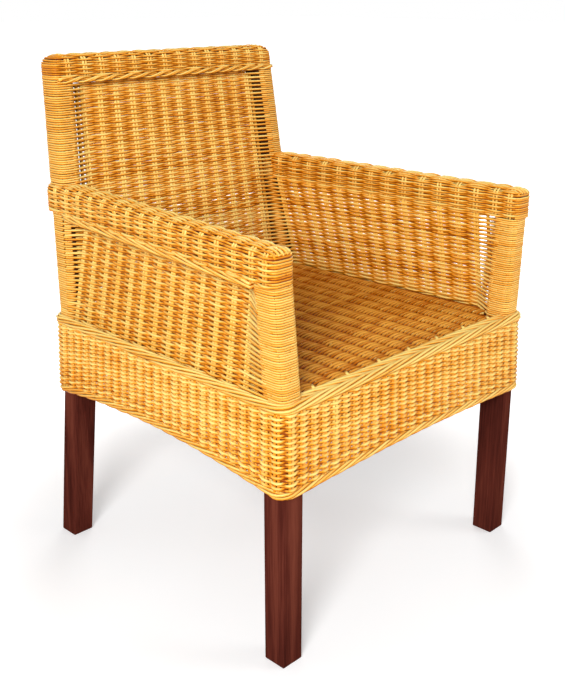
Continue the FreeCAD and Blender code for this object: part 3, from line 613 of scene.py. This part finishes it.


# Woven back, on pairs of stakes, with one rod beside each post, toned dark as painted shade

BACK_SWING = 2.6
BACK_ROWS = 104
BACK_PAIRS = 12
BACK_PITCH = 35.2
BACK_FIRST = 21.2
BACK_WIDE = 429.6
BACK_SHARES = [(BACK_FIRST + BACK_PITCH * index) / BACK_WIDE for index in range(BACK_PAIRS)]
BACK_LEAN = Vector((0, -1, BACK_POST_LEAN[1])).normalized()
BACK_SET = -6
BACK_GAP = 0.3
BACK_SWEEP = 0.6
TAIL_PAST = 1
BACK_ROD_LEVELS = levels(426, 842, 40)
BACK_EDGE_IN = 9.5
BACK_EDGE_BEHIND = 1


def back_half(z):
    return back_post(z).x - POST_HALF.x - BACK_GAP


def back_y(z):
    return back_post(z).y + BACK_SET


def back_tail(spot, row, hand):
    """End of a row, from its last pair of stakes round the corner of the left post."""
    z = spot.z
    behind = 1 if tucked(row, hand) else -1
    corner = post_corner(back_post, z, -1, behind)
    tail = round_corner(spot.to_2d(), corner, -behind, BACK_SWEEP)
    if behind < 0 and row in LOWER_RINGS:
        tail.append(back_post(z) + Vector((TAIL_PAST, -POST_RUN.y)))
    return [raised(point, z) for point in tail]


back_weave = Strands("back")
for row in range(FIRST_ROW, BACK_ROWS):
    z = row_height(row)
    half = back_half(z)

    def across_back(length, z=z):
        return Vector((length, back_y(z), z)), BACK_LEAN

    stations = []
    for index, share in enumerate(BACK_SHARES):
        stations.append(((2 * share - 1) * half, BACK_SWING * flip(row, index)))
    points, shades = woven(across_back, stations)
    before = [mirrored(point) for point in reversed(back_tail(mirrored(points[0]), row, -1))]
    points, shades = joined(before, points, back_tail(points[-1], row, 1), shades)
    back_weave.lay(points, PANEL_WEAVER, shades=shades)
back_weave.build("back_weave", WEAVE, "rattan_weave", "back_panel")

back_rods = Strands("back rods")
for share in BACK_SHARES:
    for beside in PAIR:
        line = []
        for z in BACK_ROD_LEVELS:
            line.append(Vector(((2 * share - 1) * back_half(z) + beside, back_y(z), z)))
        back_rods.lay(line, PANEL_STAKE, PALE_TONE, wobble=ROD_STRAY)
for hand in (-1, 1):
    line = []
    for z in BACK_ROD_LEVELS:
        line.append(Vector((hand * (back_half(z) - BACK_EDGE_IN), back_y(z) + BACK_EDGE_BEHIND, z)))
    back_rods.lay(line, EDGE_ROD, EDGE_SHADE_TONE, wobble=0)
back_rods.build("back_rods", ROD, "rattan_rod", "back_stakes")


# Woven sides, between the arm post and the back post, with one rod beside the arm post whose
# dark tone is painted shade

SIDE_SWING = 2.75
SIDE_PAIRS = 13
SIDE_ROWS = 46
SIDE_ROD_SHARES = (-0.03, 0.2, 0.4, 0.6, 0.8, 1.03)
SIDE_ROD_TONE = (0.4, 0.9)
SIDE_EDGE_BEFORE = 24
SIDE_EDGE_SHARES = (-0.03, 0.5, 1.03)
FRONT_SWEEP = 0.35
REAR_SWEEP_INSIDE = 0.9
REAR_SWEEP_OUTSIDE = 0.45
FRONT_FOOT = raised(arm_post(SEAT_TOP) + Vector((15, 58)), SEAT_TOP)
FRONT_HEAD = raised(arm_post(ARM_FOOT_FRONT) + Vector((-19.5, 59)), ARM_FOOT_FRONT)
REAR_FOOT = raised(back_post(SEAT_TOP) + Vector((15, -27)), SEAT_TOP)
REAR_HEAD = raised(back_post(ARM_FOOT_REAR) + Vector((-15.5, -38)), ARM_FOOT_REAR)


def side_at(share):
    """Line along a row of the side, from its first pair of stakes to its last, and its length."""
    return straight_at(FRONT_FOOT.lerp(FRONT_HEAD, share), REAR_FOOT.lerp(REAR_HEAD, share))


for seed, (side, hand) in enumerate(HANDS):
    weave = Strands(f"side{seed}", hand)
    for row in range(FIRST_ROW, SIDE_ROWS):
        at, length = side_at((row + 0.5) / SIDE_ROWS)
        stations = []
        for index in range(SIDE_PAIRS):
            offset = SIDE_SWING * flip(row, index, hand > 0)
            stations.append((length * index / (SIDE_PAIRS - 1), offset))
        points, shades = woven(at, stations)
        first, last = points[0], points[-1]
        outside = -1 if tucked(row, hand) else 1
        corner = post_corner(arm_post, first.z, outside, 1)
        before = round_corner(first.to_2d(), corner, -outside, FRONT_SWEEP)
        before = [raised(spot, first.z) for spot in reversed(before)]
        corner = post_corner(back_post, last.z, outside, -1)
        sweep = REAR_SWEEP_INSIDE if outside < 0 else REAR_SWEEP_OUTSIDE
        after = round_corner(last.to_2d(), corner, outside, sweep)
        if outside < 0:
            after.append(back_post(last.z) + Vector((-POST_RUN.x, 0)))
        after = [raised(spot, last.z) for spot in after]
        points, shades = joined(before, points, after, shades)
        weave.lay(points, PANEL_WEAVER, shades=shades)
    weave.build(f"side_weave_{side}", WEAVE, "rattan_weave", f"side_panel_{side}")

    rods = Strands(f"side rods{seed}", hand)
    for index in range(SIDE_PAIRS):
        for beside in PAIR:
            line = []
            for share in SIDE_ROD_SHARES:
                at, length = side_at(share)
                line.append(at(length * index / (SIDE_PAIRS - 1) + beside)[0])
            rods.lay(line, PANEL_STAKE, SIDE_ROD_TONE, wobble=ROD_STRAY)
    line = [side_at(share)[0](-SIDE_EDGE_BEFORE)[0] for share in SIDE_EDGE_SHARES]
    rods.lay(line, EDGE_ROD, EDGE_SHADE_TONE, wobble=0)
    rods.build(f"side_rods_{side}", ROD, "rattan_rod", f"side_stakes_{side}")


# Woven seat, on pairs of rods that run from front to back

SEAT_MIDDLE = 425.3
SEAT_SWING = 3.3
SEAT_STRAND = WEAVER * 1.06
# Seat strands are painted paler above this level and darker below it: painted highlight and shade.
SEAT_SHADING_LEVEL = SEAT_MIDDLE + 1.6
SEAT_ROWS = levels(-304, 262, ROW)
SEAT_PITCH = 34.5
SEAT_PAIRS = 16
SEAT_EDGE = 18
SEAT_GAP = 2
SEAT_END_OFFSET = -2
SEAT_END_ROOM = 6
SEAT_ROD_LEVELS = levels(-306, 264, 8)
SEAT_ROD_EACH = 8
SEAT_ROD_ROOM = 3
SEAT_ROD_TONE = (0.4, 0.95)


def seat_half(y):
    """Half length of a row of the seat, which stops at the posts and at the woven sides."""
    arm, back = arm_post(SEAT_TOP), back_post(SEAT_TOP)
    if y < arm.y + POST_HALF.y + SEAT_GAP:
        return arm.x - POST_HALF.x - SEAT_GAP
    if y > back.y - POST_HALF.y - SEAT_GAP:
        return back.x - POST_HALF.x - SEAT_GAP
    narrowing = (REAR_HALF - FRONT_HALF) * (y - FRONT_Y) / (REAR_Y - FRONT_Y)
    return FRONT_HALF + narrowing - SEAT_EDGE


seat_weave = Strands("seat")
for row, y in enumerate(SEAT_ROWS):
    half = seat_half(y)

    def across_seat(length, y=y):
        return Vector((length, y, SEAT_MIDDLE)), UP

    stations = [(-half, SEAT_END_OFFSET)]
    for index in range(SEAT_PAIRS):
        x = pair_x(index, SEAT_PAIRS, SEAT_PITCH)
        if abs(x) < half - SEAT_END_ROOM:
            stations.append((x, SEAT_SWING * flip(row, index)))
    stations.append((half, SEAT_END_OFFSET))
    points, shades = woven(across_seat, stations)
    seat_weave.lay(points, SEAT_STRAND, level=SEAT_SHADING_LEVEL)
seat_weave.build("seat_weave", SEAT_WEAVE, "rattan_weave", "seat_panel")

seat_rods = Strands("seat rods")
for index in range(SEAT_PAIRS):
    for beside in PAIR:
        x = pair_x(index, SEAT_PAIRS, SEAT_PITCH) + beside
        run = [y for y in SEAT_ROD_LEVELS if seat_half(y) > abs(x) + SEAT_ROD_ROOM]
        line = [Vector((x, y, SEAT_MIDDLE)) for y in (*run[::SEAT_ROD_EACH], run[-1])]
        seat_rods.lay(line, STAKE, SEAT_ROD_TONE, wobble=ROD_STRAY)
seat_rods.build("seat_rods", ROD, "rattan_rod", "seat_stakes")


# Woven apron with its arched hem, and the plaited border of the seat

APRON_TOP = 416
APRON_FOOT = 299
APRON_ROWS = 29
APRON_SWING = 2.9
APRON_STRAND = WEAVER * 1.08
APRON_STAKES = 102
APRON_SHADE = 1.9
APRON_INSET = 4.6
APRON_FLARE = 3
APRON_ROUND = 17
APRON_ROD_SHARES = (0, 0.25, 0.5, 0.75, 1)
SIDE_RISE, SIDE_REACH = 20, 277
END_RISE, END_REACH = 8, 271
HEM_INSET = 2.6
HEM_LEVEL = 292.5
BORDER_LEVEL = 424.2
BORDER_EDGE_LEVEL = 428
BORDER_EDGES = ((FRONT_Y + 17.5, 262, 1), (REAR_Y - 16, 244, -1))
TIP_PITCH = 72
TIP_IN = 3
TIP_LEVEL = 431.6
TIP_RADIUS = 2.5
TIP_TONE = (0.95, 1.0)


def seat_outline(inset):
    """The seat's plan, drawn in by inset all round."""
    front, rear = FRONT_HALF - inset, REAR_HALF - inset
    near, far = FRONT_Y + inset, REAR_Y - inset
    return Outline([(-front, near), (front, near), (rear, far), (-rear, far)], APRON_ROUND)


def arch(point, normal):
    """How far the hem is drawn up between the corners, more along the sides than at the ends."""
    along_side = 1 - ((point.y - (FRONT_Y + REAR_Y) / 2) / SIDE_REACH) ** 2
    along_end = 1 - (point.x / END_REACH) ** 2
    return max(SIDE_RISE * along_side * abs(normal.x), END_RISE * along_end * abs(normal.y), 0)


def apron_at(share):
    """Line round the apron at a share of its height. The foot stands out a little."""
    line = seat_outline(APRON_INSET - APRON_FLARE * (1 - share))

    def at(length):
        point, normal = line.at(length)
        foot = APRON_FOOT + arch(point, normal)
        return raised(point, foot + (APRON_TOP - foot) * share), raised(normal, 0)

    return at, line


apron_weave = Strands("apron")
for row in range(APRON_ROWS):
    at, line = apron_at((row + 0.5) / APRON_ROWS)
    stations = []
    for index in range(APRON_STAKES + 1):
        stations.append((line.length * index / APRON_STAKES, APRON_SWING * flip(row, index)))
    points, shades = woven(
        at, stations, line.lengths, closed=True, steps=FEW_STEPS, shade=APRON_SHADE)
    apron_weave.lay(points, APRON_STRAND, closed=True, shades=shades)
for index in range(APRON_STAKES):
    for beside in PAIR:
        rod = []
        for share in APRON_ROD_SHARES:
            at, line = apron_at(share)
            rod.append(at(line.length * index / APRON_STAKES + beside)[0])
        apron_weave.lay(rod, STAKE, PALE_TONE, wobble=RIB_STRAY)
apron_weave.build("apron_weave", WEAVE, "rattan_weave", "apron")


def ring_at(inset, z, arched=False):
    """Line round the seat at a height, or at the height of the hem's arch, and its length."""
    line = seat_outline(inset)

    def at(length):
        point, normal = line.at(length)
        rise = arch(point, normal) if arched else 0
        return raised(point, z + rise), raised(normal, 0)

    return at, line.length


hem = Strands("hem")
at, length = ring_at(HEM_INSET, HEM_LEVEL, arched=True)
rope(hem, at, length, count=5, across=3.6, up=4.6, lay=length / 15, radius=2.25, closed=True)
hem.build("hem_plait", PLAIT, "rattan_plait", "apron_hem")

border = Strands("seat border")
at, length = ring_at(APRON_INSET, BORDER_LEVEL)
rope(border, at, length, count=6, across=5.2, up=5.8, lay=length / 9, radius=2.35, closed=True)
for y, half, way in BORDER_EDGES:
    start = Vector((-half * way, y, BORDER_EDGE_LEVEL))
    end = Vector((half * way, y, BORDER_EDGE_LEVEL))
    at, length = straight_at(start, end)
    rope(border, at, length, count=5, across=4.8, up=3.4, lay=-length / 3, radius=2.3)
    for x in levels(-half, half, TIP_PITCH):
        tip = Vector((x, y + TIP_IN * way, TIP_LEVEL))
        border.lay([tip, tip + Vector((6, 9 * way, 0.4))], TIP_RADIUS, TIP_TONE, wobble=0)
border.build("seat_border_plait", PLAIT, "rattan_plait", "seat_border")


# Woven arm covers: loops round their sides, rows along their tops that turn down in front, and
# ribs across. A plait runs under each outer edge.

SKIN = 4.0
RIB_TILTS = (0.45, 0.9, 1.35)
COVER_FRONT = Vector((297.6, -311.3))
COVER_REAR = Vector((251.6, 300.4))
COVER_HALF = 24.5
COVER_HIGH = 52
COVER_ROUND = 14
COVER_CORNER = 15
COVER_SWING = 2.6
COVER_BEND = COVER_ROUND - SKIN
COVER_PAIRS = range(-2, SIDE_PAIRS + 1)
COVER_PAIR_ROOM = 4
COVER_END_PAST = 7
COVER_END_OFFSET = 0.8
LOOP_TILTS = (14, 38)
TOP_TILTS = (60, 82)
TOP_ACROSS = (8, 4, 0, -4, -8)
TOP_END_GAP = 1.5
NOSE_PROUD = 1.3
NOSE_TURNS = (28, 46, 62, 78)
UNDER_ROWS = levels(-14, 15, ROW)
UNDER_PLACES = (-260, -130, 0, 130, 232)
UNDER_UP = 2
UNDER_TONE = (0.3, 0.7)
ARM_BORDER_SPAN = (-262, 240)
ARM_BORDER_ACROSS = 18
ARM_BORDER_UP = -2

COVER_LOOPS = [(up, SKIN, 0.0) for up in levels(0, COVER_HIGH - COVER_ROUND, ROW)]
for degrees in LOOP_TILTS:
    tilt = math.radians(degrees)
    rise = COVER_BEND * math.sin(tilt)
    inset = COVER_ROUND - COVER_BEND * math.cos(tilt)
    COVER_LOOPS.append((COVER_HIGH - COVER_ROUND + rise, inset, tilt))
TOP_EDGE = []
for degrees in TOP_TILTS:
    tilt = math.radians(degrees)
    across = COVER_HALF - COVER_ROUND + COVER_BEND * math.cos(tilt)
    up = COVER_HIGH - COVER_ROUND + COVER_BEND * math.sin(tilt)
    TOP_EDGE.append((across, up, Vector((math.cos(tilt), 0, math.sin(tilt)))))
TOP_ROWS = TOP_EDGE + [(across, COVER_HIGH - SKIN, UP) for across in TOP_ACROSS]
TOP_ROWS += [(-across, up, mirrored(normal)) for across, up, normal in reversed(TOP_EDGE)]


def cover_share(y):
    return (y - COVER_FRONT.y) / (COVER_REAR.y - COVER_FRONT.y)


def cover_middle(y):
    return COVER_FRONT.x + (COVER_REAR.x - COVER_FRONT.x) * cover_share(y)


def cover_foot(y):
    return ARM_FOOT_FRONT + (ARM_FOOT_REAR - ARM_FOOT_FRONT) * cover_share(y)


def cover_point(across, y, up):
    return Vector((cover_middle(y) + across, y, cover_foot(y) + up))


def cover_line(inset):
    wide = COVER_HALF - inset
    near, far = COVER_FRONT.y + inset, COVER_REAR.y - inset
    corners = []
    for side, y in ((-1, near), (1, near), (1, far), (-1, far)):
        corners.append((cover_middle(y) + side * wide, y))
    return Outline(corners, COVER_CORNER - inset)


def pair_y(index):
    """Place along the arm of a pair of stakes, in line with the side's pairs."""
    y = FRONT_HEAD.y + (REAR_HEAD.y - FRONT_HEAD.y) * index / (SIDE_PAIRS - 1)
    return max(y, COVER_FRONT.y + COVER_CORNER + COVER_PAIR_ROOM)


def rib_bends(half, foot, top, edge):
    """Places across and up of a rib, over a cover with rounded edges and down its other side."""
    bend = edge - SKIN
    ribs = [(half - SKIN, foot), (half - SKIN, top - edge)]
    for tilt in RIB_TILTS:
        ribs.append((half - edge + bend * math.cos(tilt), top - edge + bend * math.sin(tilt)))
    return ribs + [(-across, up) for across, up in reversed(ribs)]


for seed, (side, hand) in enumerate(HANDS):
    cover = Strands(f"cover{seed}", hand)
    for row, (up, inset, tilt) in enumerate(COVER_LOOPS):
        line = cover_line(inset)

        def at(length, up=up, tilt=tilt, line=line):
            point, normal = line.at(length)
            lean = raised(normal, 0) * math.cos(tilt) + UP * math.sin(tilt)
            return raised(point, cover_foot(point.y) + up), lean

        front, outer, rear, inner = line.sides
        start_y = line.at(outer[0])[0].y
        end_y = line.at(outer[1])[0].y
        slant = (outer[1] - outer[0]) / (end_y - start_y)
        stations = []
        for index in COVER_PAIRS:
            run = (pair_y(index) - start_y) * slant
            stations.append((outer[0] + run, COVER_SWING * flip(row, index)))
            stations.append((inner[1] - run, COVER_SWING * flip(row, index, 1)))
        for start, end in (front, rear):
            for spot in (start - COVER_END_PAST, end + COVER_END_PAST):
                stations.append((spot % line.length, COVER_END_OFFSET))
        points, shades = woven_round(line, at, stations)
        cover.lay(points, WEAVER, closed=True, shades=shades)

    for row, (across, up, normal) in enumerate(TOP_ROWS):
        beyond = max(abs(across) - COVER_HALF + COVER_CORNER, 0)
        corner = COVER_CORNER - math.sqrt(COVER_CORNER ** 2 - beyond ** 2)
        front_y = COVER_FRONT.y + corner + COVER_ROUND
        end_y = back_post(COVER_HIGH + ARM_FOOT_REAR).y - POST_HALF.y - TOP_END_GAP

        def at(length, across=across, up=up, normal=normal):
            return cover_point(across, length, up), normal

        proud = NOSE_PROUD * flip(row, COVER_PAIRS[0])
        stations = [(front_y, proud)]
        for index in COVER_PAIRS:
            y = pair_y(index)
            if front_y + COVER_PAIR_ROOM < y < end_y - COVER_PAIR_ROOM:
                stations.append((y, COVER_SWING * flip(row, index)))
        stations.append((end_y, 0))
        points, shades = woven(at, stations)
        bend = COVER_BEND + proud
        nose = []
        for degrees in NOSE_TURNS:
            turn = math.radians(degrees)
            drop = COVER_BEND - bend * math.sin(turn)
            nose.append(cover_point(across, front_y - bend * math.cos(turn), up - drop))
        points, shades = joined(nose, points, [], shades)
        cover.lay(points, WEAVER, shades=shades)

    for index in COVER_PAIRS:
        for beside in PAIR:
            y = pair_y(index) + beside
            bends = rib_bends(COVER_HALF, 0, COVER_HIGH, COVER_ROUND)
            line = [cover_point(across, y, up) for across, up in bends]
            cover.lay(line, RIB, RIB_TONE, wobble=RIB_STRAY)
    for across in UNDER_ROWS:
        under = [cover_point(across, y, UNDER_UP) for y in UNDER_PLACES]
        cover.lay(under, WEAVER, UNDER_TONE, wobble=ROD_STRAY)
    cover.build(f"arm_cover_weave_{side}", WEAVE, "rattan_weave", f"arm_cover_{side}")

    edge = Strands(f"arm border{seed}", hand)
    start, end = (cover_point(ARM_BORDER_ACROSS, y, ARM_BORDER_UP) for y in ARM_BORDER_SPAN)
    at, length = straight_at(start, end)
    rope(edge, at, length, count=6, across=4.0, up=6.2, lay=270, radius=2.25)
    edge.build(f"arm_border_plait_{side}", PLAIT, "rattan_plait", f"arm_border_{side}")


# Woven band over the top of the back, and the twisted border under it

BAND_FOOT = 838.5
BAND_TOP = 876
BAND_HALF = 260.1
BAND_HALF_DEEP = 25
BAND_EDGE = 12
BAND_CORNER = 18
BAND_ROUND, BAND_ROUND_SHARE = 9, 0.8
BAND_PAIRS = 14
BAND_ROW, BAND_TOP_ROW = 3.7, 3.8
BAND_TILTS = (15, 42, 68)
BAND_END_PAST = 8
BAND_END_OFFSET = 0.5
BAND_BEND = BAND_EDGE - SKIN
TWIST_HALF = 252
TWIST_LEVEL = 834
TWIST_GAP = 0.5

BAND_LOOPS = [(z, SKIN, 0.0) for z in levels(BAND_FOOT, BAND_TOP - BAND_EDGE, BAND_ROW)]
for degrees in BAND_TILTS:
    tilt = math.radians(degrees)
    z = BAND_TOP - BAND_EDGE + BAND_BEND * math.sin(tilt)
    BAND_LOOPS.append((z, BAND_EDGE - BAND_BEND * math.cos(tilt), tilt))
for inset in levels(BAND_EDGE - 1, BAND_HALF_DEEP, BAND_TOP_ROW):
    BAND_LOOPS.append((BAND_TOP - SKIN, inset, math.pi / 2))


def band_half(z, inset):
    """Half length of a loop of the band, with its upper corners rounded off in the front view."""
    corner = BAND_CORNER - SKIN
    above = min(max(z - (BAND_TOP - BAND_CORNER), 0), corner)
    cut_off = corner - math.sqrt(corner ** 2 - above ** 2)
    nested = max(inset - BAND_EDGE, 0)
    return BAND_HALF + BACK_POST_LEAN[0] * (z - BAND_FOOT) - SKIN - cut_off - nested


band = Strands("band")
for row, (z, inset, tilt) in enumerate(BAND_LOOPS):
    deep = BAND_HALF_DEEP - inset
    half = (band_half(z, inset), deep)
    rounding = min(BAND_ROUND, BAND_ROUND_SHARE * deep)
    line = block_outline(Vector((0, back_post(z).y)), half, rounding)

    def at(length, z=z, tilt=tilt, line=line):
        point, normal = line.at(length)
        return raised(point, z), raised(normal, 0) * math.cos(tilt) + UP * math.sin(tilt)

    front, left, rear, right = line.sides
    stations = []
    for index in range(BAND_PAIRS):
        x = pair_x(index, BAND_PAIRS, BACK_PITCH)
        stations.append((sum(front) / 2 + x, COVER_SWING * flip(row, index)))
        stations.append((sum(rear) / 2 - x, COVER_SWING * flip(row, index, 1)))
    for start, end in (left, right):
        stations.append((start - BAND_END_PAST, BAND_END_OFFSET))
        stations.append((end + BAND_END_PAST, BAND_END_OFFSET))
    points, shades = woven_round(line, at, stations)
    band.lay(points, WEAVER, closed=True, shades=shades)

for index in range(BAND_PAIRS):
    for beside in PAIR:
        x = pair_x(index, BAND_PAIRS, BACK_PITCH) + beside
        bends = rib_bends(BAND_HALF_DEEP, BAND_FOOT, BAND_TOP, BAND_EDGE)
        line = [Vector((x, back_post(z).y + deep, z)) for deep, z in bends]
        band.lay(line, RIB, RIB_TONE, wobble=RIB_STRAY)
band.build("top_band_weave", WEAVE, "rattan_weave", "top_band")

twist = Strands("band border")
twist_y = back_post(TWIST_LEVEL).y - POST_HALF.y - TWIST_GAP
start, end = (Vector((x, twist_y, TWIST_LEVEL)) for x in (-TWIST_HALF, TWIST_HALF))
at, length = straight_at(start, end)
rope(twist, at, length, count=2, across=3.0, up=3.9, lay=72, radius=1.9, strands_each=2)
twist.build("band_border_twist", PLAIT, "rattan_plait", "band_border")


# Legs with their long edges eased

LEGS = ("front_leg_left", "front_leg_right", "rear_leg_left", "rear_leg_right")
LEG_LONG_EDGE = 30 * MM
LEG_SHARP_EDGE = 1
LEG_EASE = 1.6 * MM
for name in LEGS:
    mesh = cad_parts[name].data.copy()
    mesh.name = f"{name}_wood"
    shell = bmesh.new()
    shell.from_mesh(mesh)
    bmesh.ops.remove_doubles(shell, verts=shell.verts, dist=1e-6)
    bmesh.ops.dissolve_limit(
        shell, angle_limit=math.radians(1), verts=shell.verts, edges=shell.edges)
    eased = []
    for edge in shell.edges:
        if edge.calc_length() > LEG_LONG_EDGE and edge.calc_face_angle(0) > LEG_SHARP_EDGE:
            eased.append(edge)
    bmesh.ops.bevel(
        shell, geom=eased, offset=LEG_EASE, segments=2, profile=0.5, affect="EDGES", material=-1)
    shell.to_mesh(mesh)
    shell.free()
    mesh.materials.clear()
    mesh.materials.append(LEG_WOOD)
    piece = bpy.data.objects.new(f"{name}_wood", mesh)
    bpy.context.scene.collection.objects.link(piece)
    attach(piece, "root")
    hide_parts(name)


# Finishes of the pieces that stay as the frame has them, by the starts of their names

PLAIN_PIECES = (
    (DOWEL_WOOD, ("rail_dowels", "post_dowels")),
    (STEEL, ("corner_bolts", "corner_nuts")),
    (FRAME_WOOD, (
        "front_rail", "rear_rail", "side_rail_", "corner_block_", "seat_bearer_",
        "arm_post_", "back_post_", "arm_rail_", "top_rail",
    )),
)
for finish, starts in PLAIN_PIECES:
    for name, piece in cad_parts.items():
        if name.startswith(starts) and "wrap" not in name:
            piece.data.materials.clear()
            piece.data.materials.append(finish)


# Floor, light and camera, in metres

FLOOR_HALF = 30
FLOOR_COLOUR = (0.85, 0.85, 0.85, 1)
# The floor glows to camera, shine and glass rays, least near the chair: painted shadow round it.
FLOOR_NEAR, FLOOR_FAR = 0.4, 0.95
FLOOR_GLOW = 0.3
WORLD_LIGHT = 0.27
LAMPS = (
    ("key_lamp", (-2.8, -1.85, 1.85), (0, 0, 0.5), 1.4, 120),
    ("fill_lamp", (2.2, -2.8, 1.5), (0, 0, 0.45), 2.0, 32),
    ("back_lamp", (2.3, 2.3, 0.9), (0, 0, 0.5), 2.0, 42),
)
CAMERA_AT = Vector((-1.20165, -1.1989, 0.9761))
CAMERA_YAW = math.radians(45.49)
CAMERA_PITCH = math.radians(17.2)
CAMERA_LENS, CAMERA_SENSOR = 51.08, 36
CAMERA_SHIFT = (-0.003, -0.0711)


def seen_rays(start):
    """1 for rays that show the background to the camera, in shine and through glass, else 0."""
    seen = start.node("LightPath", output="Is Camera Ray")
    shine = start.node("LightPath", output="Is Glossy Ray")
    through = start.node("LightPath", output="Is Transmission Ray")
    return start.maths("MAXIMUM", start.maths("MAXIMUM", seen, shine), through)


floor_mesh = bpy.data.meshes.new("floor")
ground = bmesh.new()
bmesh.ops.create_grid(ground, x_segments=1, y_segments=1, size=FLOOR_HALF)
ground.to_mesh(floor_mesh)
ground.free()
floor = bpy.data.objects.new("floor", floor_mesh)
bpy.context.scene.collection.objects.link(floor)
pale_floor, start, shader = new_finish("pale_floor")
settle(shader, Base_Color=FLOOR_COLOUR, Roughness=0.9, Emission_Strength=1.0)
# Less glow near the chair paints a shadow on the floor under and round it.
place = start.node("TexCoord", output="Object")
away = start.node("VectorMath", {0: place}, operation="LENGTH", output="Value")
span = {"Value": away, "From Min": FLOOR_NEAR, "From Max": FLOOR_FAR}
beyond = start.node("MapRange", span, interpolation_type="SMOOTHSTEP")
glow = beyond * (1 - FLOOR_GLOW) + FLOOR_GLOW
wire(start, shader, Emission_Color=glow * seen_rays(start))
floor_mesh.materials.append(pale_floor)

for name, place, target, size, power in LAMPS:
    light = bpy.data.lights.new(name, "AREA")
    light.shape = "DISK"
    light.size = size
    light.energy = power
    lamp = bpy.data.objects.new(name, light)
    lamp.location = place
    lamp.rotation_euler = (Vector(target) - Vector(place)).to_track_quat("-Z", "Y").to_euler()
    bpy.context.scene.collection.objects.link(lamp)

world = bpy.data.worlds.new("studio")
world.use_nodes = True
bpy.context.scene.world = world
sky = Feed(world.node_tree)
backdrop = world.node_tree.nodes["Background"]
settle(backdrop, Color=(1, 1, 1, 1))
wire(sky, backdrop, Strength=seen_rays(sky) * (1 - WORLD_LIGHT) + WORLD_LIGHT)

camera_data = bpy.data.cameras.new("photo_camera")
camera_data.sensor_width = CAMERA_SENSOR
camera_data.lens = CAMERA_LENS
camera_data.shift_x, camera_data.shift_y = CAMERA_SHIFT
camera = bpy.data.objects.new("photo_camera", camera_data)
forward = math.cos(CAMERA_PITCH)
looking = Vector((
    math.sin(CAMERA_YAW) * forward, math.cos(CAMERA_YAW) * forward, -math.sin(CAMERA_PITCH)))
camera.location = CAMERA_AT
camera.rotation_euler = looking.to_track_quat("-Z", "Y").to_euler()
bpy.context.scene.collection.objects.link(camera)
bpy.context.scene.camera = camera
bpy.context.scene.view_settings.view_transform = "Standard"
